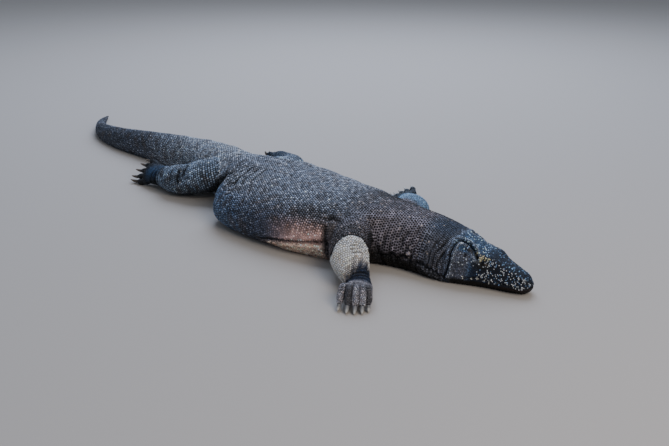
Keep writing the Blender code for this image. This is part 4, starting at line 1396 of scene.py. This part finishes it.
# Painted shade in folds and hollows darkens the scales; painted highlight on ridges lightens them.
tint = np.minimum(tint * tone[:, None], 0.92) * (1 - 0.95 * painted_shade)[:, None]


def unwrap(which, distance, angle, share, limb_angle):
    """The hide laid out flat in a unit square: the body as one strip, the head and legs beside it."""
    turn = (angle / (2 * np.pi) + 0.75) % 1
    limb_turn = (limb_angle / (2 * np.pi) + 0.75) % 1
    around = 2 * np.pi * girth_radius(distance)
    u = 0.01 + distance * 0.41
    v = 0.22 + (turn - 0.5) * around * 0.41
    head = (which == 0) & (distance < HEAD_LENGTH)
    u = np.where(head, 0.01 + distance * 0.90, u)
    v = np.where(head, 0.62 + (turn - 0.5) * around * 0.90, v)
    for number, limb in enumerate(limbs.values(), start=1):
        on_limb = which == number
        first = (0.24 + 0.36 * ((number - 1) % 2), 0.46 + 0.26 * ((number - 1) // 2))
        u = np.where(on_limb, first[0] + share * limb.wrist * 0.80, u)
        v = np.where(on_limb, first[1] + limb_turn * 0.24, v)
    return u, v


def bead(name, sides, keel):
    """One closed low dome: wide buried foot, steep sides, rounded top, with a ridge if keeled."""
    turn = (np.arange(sides) + 0.5) * 2 * np.pi / sides
    ring = np.stack((np.cos(turn), np.sin(turn)), -1)
    verts = [(x, y, -0.5) for x, y in ring]
    verts += [(x * 0.82, y * (0.82 - keel * 0.3), 0.60) for x, y in ring] + [(-0.10, 0, 1.0)]
    crown = [0.0] * sides + [0.5] * sides + [1.0]
    patch = [(x * 0.5, y * 0.5, 0) for x, y in ring] + [(x * 0.3, y * 0.3, 0) for x, y in ring] + [(0, 0, 0)]
    faces = [tuple(range(sides))[::-1]]
    for i in range(sides):
        j = (i + 1) % sides
        faces.append((i, j, sides + j, sides + i))
        faces.append((sides + i, sides + j, 2 * sides))
    mesh = bpy.data.meshes.new(name)
    mesh.from_pydata(verts, [], faces)
    store(mesh, "FLOAT", "crown", crown)
    store(mesh, "FLOAT_VECTOR", "patch", patch)
    mesh.shade_smooth()
    return new_object(name, mesh)


def scale_tree():
    """Geometry Nodes: one scale on every point of the bed, turned, sized and made real."""
    tree = bpy.data.node_groups.new("scales_on_bed", "GeometryNodeTree")
    for name, way, kind in (
        ("Bed", "INPUT", "Geometry"), ("Scale Shape", "INPUT", "Object"), ("Finish", "INPUT", "Material"),
        ("Patch Size", "INPUT", "Float"), ("Scales", "OUTPUT", "Geometry"),
    ):
        tree.interface.new_socket(name, in_out=way, socket_type=f"NodeSocket{kind}")
    given = add_node(tree, "NodeGroupInput").outputs
    turn, size, patch, root = [
        add_node(tree, "GeometryNodeInputNamedAttribute", {"data_type": "FLOAT_VECTOR"}, Name=word)
        .outputs["Attribute"]
        for word in ("turn", "size", "patch", "root")
    ]
    turn = add_node(tree, "FunctionNodeEulerToRotation", _0=turn)
    shape = add_node(tree, "GeometryNodeObjectInfo", Object=given["Scale Shape"])
    placed = add_node(tree, "GeometryNodeInstanceOnPoints", Points=given["Bed"], Scale=size,
                      Instance=shape.outputs["Geometry"], Rotation=turn.outputs[0])
    real = add_node(tree, "GeometryNodeRealizeInstances", _0=placed.outputs[0])
    spread = add_node(tree, "ShaderNodeVectorMath", {"operation": "MULTIPLY_ADD"},
                      _0=patch, _1=given["Patch Size"], _2=root)
    kept = add_node(tree, "GeometryNodeStoreNamedAttribute", {"data_type": "FLOAT2", "domain": "CORNER"},
                    Geometry=real.outputs[0], Name="OFBake", Value=spread.outputs[0])
    finish = add_node(tree, "GeometryNodeSetMaterial", Geometry=kept.outputs[0], Material=given["Finish"])
    add_node(tree, "NodeGroupOutput", _0=finish.outputs[0])
    return tree


def scale_finish(name, roughness):
    """Keratin: painted shade round each scale's foot, lighter on its worn top, dusty in patches, faint gloss.

    The dust lies in patches 30 mm across. Its grit, a few hundredths of a millimetre, is too fine to
    show, so it is drawn 0.7 mm across.
    """
    material, tree, shader = new_material(name)
    tint = add_node(tree, "ShaderNodeAttribute", {"attribute_name": "tint"})
    crown = add_node(tree, "ShaderNodeAttribute", {"attribute_name": "crown"})
    place = add_node(tree, "ShaderNodeTexCoord").outputs["Object"]
    dust = add_node(tree, "ShaderNodeTexNoise", Vector=place, Scale=34.0, Detail=6.0, Roughness=0.66)
    wide = add_node(tree, "ShaderNodeMapRange", _0=dust.outputs["Fac"], _1=0.3, _2=0.7, _3=0.72, _4=1.28)
    # Painted shade darkens each scale towards its foot, where it meets the skin.
    edge = add_node(tree, "ShaderNodeMapRange", _0=crown.outputs["Fac"], _1=0.1, _2=0.95, _3=0.08, _4=1.25)
    both = add_node(tree, "ShaderNodeMath", {"operation": "MULTIPLY"}, _0=wide.outputs[0], _1=edge.outputs[0])
    shown = add_node(tree, "ShaderNodeVectorMath", {"operation": "SCALE"},
                     _0=tint.outputs["Color"], _3=both.outputs[0])
    grit = add_node(tree, "ShaderNodeTexNoise", Vector=place, Scale=1400.0, Detail=2.0).outputs["Fac"]
    rough = add_node(tree, "ShaderNodeMapRange", _0=grit, _3=roughness - 0.1, _4=roughness + 0.14)
    bumps = add_node(tree, "ShaderNodeBump", Strength=0.35, Distance=0.0002, Height=grit)
    set_inputs(shader, Base_Color=shown.outputs[0], Roughness=rough.outputs[0], Normal=bumps.outputs[0],
               IOR=1.54, Specular_IOR_Level=0.28)
    return material


def turns(normals, headings):
    """The turn of each scale, as XYZ angles: its top along the normal, its length along the lie."""
    z = normals
    x = unit(headings - z * (headings * z).sum(-1, keepdims=True))
    y = np.cross(z, x)
    return np.stack(
        (
            np.arctan2(y[:, 2], z[:, 2]),
            np.arcsin(np.clip(-x[:, 2], -1, 1)),
            np.arctan2(x[:, 1], x[:, 0]),
        ),
        -1,
    )


# Each scale's patch on the unwrap is this wide. Sizes differ by these shares in length, width and
# height, and the dark scales of the neck are a little smaller, so that pale skin shows between them.
BAKE_PATCH = 0.003
SIZE_SPREAD = (0.07, 0.07, 0.16)
NET_SMALLER = 0.12
tree_of_scales = scale_tree()
sockets = {item.name: item.identifier for item in tree_of_scales.interface.items_tree}
u, v = unwrap(*spots)
roots = np.stack((u, v, np.zeros(len(u))), -1)
angles = turns(normals, headings)


def cover(name, chosen, shape, finish, slot, stretch):
    """Makes one piece of scales from the chosen places. Stretch is length, width and height."""
    vary = 1 + chance.normal(0, SIZE_SPREAD, (chosen.sum(), 3))
    sizes = (pitch * (1 - NET_SMALLER * net))[chosen][:, None] * np.array(stretch) * vary
    bed_mesh = bpy.data.meshes.new(f"{name}_bed")
    bed_mesh.from_pydata(places[chosen].tolist(), [], [])
    for key, values in (("turn", angles[chosen]), ("size", sizes), ("root", roots[chosen])):
        store(bed_mesh, "FLOAT_VECTOR", key, values)
    store(bed_mesh, "FLOAT_COLOR", "tint", tint[chosen])
    piece = new_object(name, bed_mesh)
    modifier = piece.modifiers.new("scales", "NODES")
    modifier.node_group = tree_of_scales
    modifier[sockets["Scale Shape"]] = shape
    modifier[sockets["Finish"]] = finish
    modifier[sockets["Patch Size"]] = BAKE_PATCH
    bpy.context.view_layer.update()
    graph = bpy.context.evaluated_depsgraph_get()
    mesh = bpy.data.meshes.new_from_object(piece.evaluated_get(graph))
    piece.modifiers.clear()
    piece.data = mesh
    mesh.name = name
    bpy.data.meshes.remove(bed_mesh)
    above = vectors_of(mesh.vertices, "co")
    above[:, 2] = np.maximum(above[:, 2], 0.0)
    set_points(mesh, above)
    for extra in ("turn", "size", "root", "patch"):
        if extra in mesh.attributes:
            mesh.attributes.remove(mesh.attributes[extra])
    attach(piece, "root")


round_scale = bead("round_scale", 6, 0.0)
keeled_scale = bead("keeled_scale", 6, 0.9)
hide_finish = scale_finish("horny_body_scales", 0.44)
face_finish = scale_finish("polished_head_scales", 0.36)
# A scale's half length, half width and height above the skin, as shares of its pitch.
FLAT, NETTED, PLUMP, KEELED = (0.58, 0.60, 0.22), (0.52, 0.55, 0.26), (0.56, 0.59, 0.27), (0.58, 0.57, 0.27)
# Coats of the body: name, distances from the snout where each starts and ends, scale and finish.
BODY_COATS = (
    ("scales_head", 0.0, HEAD_LENGTH, round_scale, face_finish, "dark_hide", FLAT),
    ("scales_neck", HEAD_LENGTH, 0.43, round_scale, hide_finish, "pebbled_hide", NETTED),
    ("scales_chest", 0.43, 0.62, round_scale, hide_finish, "pebbled_hide", PLUMP),
    ("scales_flank", 0.62, 0.86, round_scale, hide_finish, "pebbled_hide", PLUMP),
    ("scales_loin", 0.86, 1.11, round_scale, hide_finish, "pebbled_hide", PLUMP),
    ("scales_tail_root", 1.11, 1.56, keeled_scale, hide_finish, "pebbled_hide", KEELED),
    ("scales_tail", 1.56, BODY_LENGTH + 1, keeled_scale, hide_finish, "pebbled_hide", KEELED),
)
for name, start, end, *facts in BODY_COATS:
    cover(name, (which == 0) & (distance >= start) & (distance < end), *facts)
for number, name in enumerate(limbs, start=1):
    slot = "pale_hide" if name.startswith("arm") else "pebbled_hide"
    cover(f"scales_{name}", which == number, round_scale, hide_finish, slot, PLUMP)
for shape in (round_scale, keeled_scale):
    bpy.data.objects.remove(shape)

# ---------------------------------------------------------------------------
# Eyes: wet balls behind a clear cornea, with a round black pupil in a dark-brown iris. Each bulges a
# little where it looks, and is held in its socket by the two lids.
# ---------------------------------------------------------------------------
# Colours by the angle from the way it looks, as a share of a half turn.
IRIS = ((0.052, "060505"), (0.066, "2E2016"), (0.13, "4A3620"), (0.175, "2E2116"), (0.20, "0D0B0A"))
BULGE = 0.0004
# Wet cornea: a mirror-smooth clear coat, so that the lamps show in it as small sharp lights.
wet_eye, tree, shader = new_material("wet_eye")
off_axis = add_node(tree, "ShaderNodeAttribute", {"attribute_name": "off_axis"})
ramp = add_node(tree, "ShaderNodeValToRGB", Fac=off_axis.outputs["Fac"])
stops = ramp.color_ramp.elements
stops[0].color = linear("050505")
stops[1].color = linear("0B0A0A")
for at, colour in IRIS:
    stops.new(at).color = linear(colour)
set_inputs(shader, Base_Color=ramp.outputs["Color"], Roughness=0.12, IOR=1.38, Coat_Weight=0.8,
           Coat_Roughness=0.03)
for side, word in ((1, "left"), (-1, "right")):
    place, gaze, forward = eyes[side]
    bm = bmesh.new()
    bmesh.ops.create_uvsphere(bm, u_segments=48, v_segments=32, radius=EYE_RADIUS)
    off_axis = []
    for vert in bm.verts:
        ray = np.array(vert.co.normalized())
        off = math.acos(max(-1, min(1, float(ray @ gaze)))) / math.pi
        off_axis.append(off)
        vert.co = Vector(place + ray * (EYE_RADIUS + BULGE * math.exp(-((off / 0.16) ** 2))))
    mesh = bpy.data.meshes.new(f"eyeball_{word}")
    bm.to_mesh(mesh)
    bm.free()
    mesh.shade_smooth()
    store(mesh, "FLOAT", "off_axis", off_axis)
    mesh.materials.append(wet_eye)
    eye = new_object(f"eyeball_{word}", mesh)
    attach(eye, "root")
    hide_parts(f"eye_{word}")

# ---------------------------------------------------------------------------
# Claws: curved sheaths of horn on the last bone of each toe, deeper than they are wide, ridged along
# their length, with a worn, paler tip. Each leaves the end of its toe and curls towards the sole.
# ---------------------------------------------------------------------------
CLAW_LENGTH = 0.031
CLAW_ROOT_RADIUS = 0.0068
CLAW_TIP_RADIUS = 0.0018
CLAW_GAP = 0.0004
CLAW_STEPS = 4
CLAW_SIDES = 16
CLAW_RINGS = 22
# The last rings shrink by these shares, so that the tip is rounded off.
CLAW_TIP = (0.92, 0.75, 0.35)
# By limb: the name of its claws' nodes, and by how many degrees they curl.
CLAWS = {
    "arm_right": ("claw_hand_right", 52), "arm_left": ("claw_hand_left", 62),
    "leg_right": ("claw_foot_right", 62), "leg_left": ("claw_foot_left", 62),
}


def claw_line(limb, toe, curl):
    """The middle line and the radii of a claw that leaves its toe and curls towards the sole."""
    end, heading = toe.at(toe.length)
    place, heading = end[0] + heading[0] * CLAW_GAP, heading[0]
    line, radii = [], []
    for step in range(CLAW_STEPS + 1):
        turn = math.radians(curl) * step / CLAW_STEPS
        along = unit(heading * math.cos(turn) + limb.sole * math.sin(turn))
        radius = CLAW_ROOT_RADIUS + (CLAW_TIP_RADIUS - CLAW_ROOT_RADIUS) * (step / CLAW_STEPS) ** 2.2
        line.append(place.copy())
        radii.append(radius)
        place = place + along * (CLAW_LENGTH / CLAW_STEPS)
        place[2] = max(place[2], radius)
    return Route(line, 8), radii


def horn_finish(name, root, middle, tip):
    """Claw keratin: darkest at the root, paler to the worn tip, streaked lengthwise, half glossy.

    Its fibres are too fine to show, so its roughness varies over spots 2.4 mm across.
    """
    material, tree, shader = new_material(name)
    along = add_node(tree, "ShaderNodeAttribute", {"attribute_name": "to_tip"})
    streak = add_node(tree, "ShaderNodeAttribute", {"attribute_name": "streak"})
    place = add_node(tree, "ShaderNodeTexCoord").outputs["Object"]
    noise = add_node(tree, "ShaderNodeTexNoise", Vector=place, Scale=420.0, Detail=3.0).outputs["Fac"]
    blend = add_node(tree, "ShaderNodeMath", {"operation": "MULTIPLY_ADD"},
                     _0=streak.outputs["Fac"], _1=0.16, _2=along.outputs["Fac"])
    ramp = add_node(tree, "ShaderNodeValToRGB", Fac=blend.outputs[0])
    ramp.color_ramp.elements[0].color = linear(root)
    ramp.color_ramp.elements[1].color = linear(tip)
    ramp.color_ramp.elements.new(0.5).color = linear(middle)
    rough = add_node(tree, "ShaderNodeMapRange", _0=noise, _3=0.28, _4=0.50)
    bumps = add_node(tree, "ShaderNodeBump", Strength=0.3, Distance=0.0002, Height=noise)
    set_inputs(shader, Base_Color=ramp.outputs["Color"], Roughness=rough.outputs[0],
               Normal=bumps.outputs[0], IOR=1.55)
    return material


claw_horn = {
    "arm": horn_finish("grey_claw_horn", "6E6E72", "8E8D8C", "BDB9B2"),
    "leg": horn_finish("brown_claw_horn", "2E241D", "46382A", "655541"),
}
turn = np.arange(CLAW_SIDES) * 2 * np.pi / CLAW_SIDES
wide = 0.80 * np.sin(turn) * np.abs(np.sin(turn)) ** 0.15
row = np.arange(CLAW_RINGS)[:, None]
ridge = 1 + 0.035 * np.cos(5 * turn) + 0.012 * np.sin(row * 1.9)
streaks = np.tile(0.5 + 0.5 * np.sin(7 * turn + 2.0), CLAW_RINGS)
to_tip = np.repeat(row / (CLAW_RINGS - 1), CLAW_SIDES)
for word, limb in limbs.items():
    for number, toe in enumerate(limb.toes, start=1):
        node = f"{CLAWS[word][0]}_{number}"
        line, radii = claw_line(limb, toe, CLAWS[word][1])
        at = np.linspace(0, line.length, CLAW_RINGS)
        centre, heading = line.at(at)
        radius = np.interp(at, np.linspace(0, line.length, len(radii)), radii)
        radius[-len(CLAW_TIP) :] *= CLAW_TIP
        top = unit(-limb.sole + heading * (heading @ limb.sole)[:, None])
        side = np.cross(heading, top)
        ring = top[:, None] * np.cos(turn)[:, None] * 1.04 + side[:, None] * wide[:, None]
        sheath = ([], [])
        add_loft(sheath, centre[:, None] + ring * (radius[:, None] * ridge)[..., None])
        mesh = bpy.data.meshes.new(f"grown_{node}")
        mesh.from_pydata(sheath[0][0].tolist(), [], sheath[1])
        face_outwards(mesh)
        store(mesh, "FLOAT", "streak", streaks)
        store(mesh, "FLOAT", "to_tip", to_tip)
        mesh.materials.append(claw_horn[word[:3]])
        claw = new_object(f"grown_{node}", mesh)
        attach(claw, "root")
        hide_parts(node)
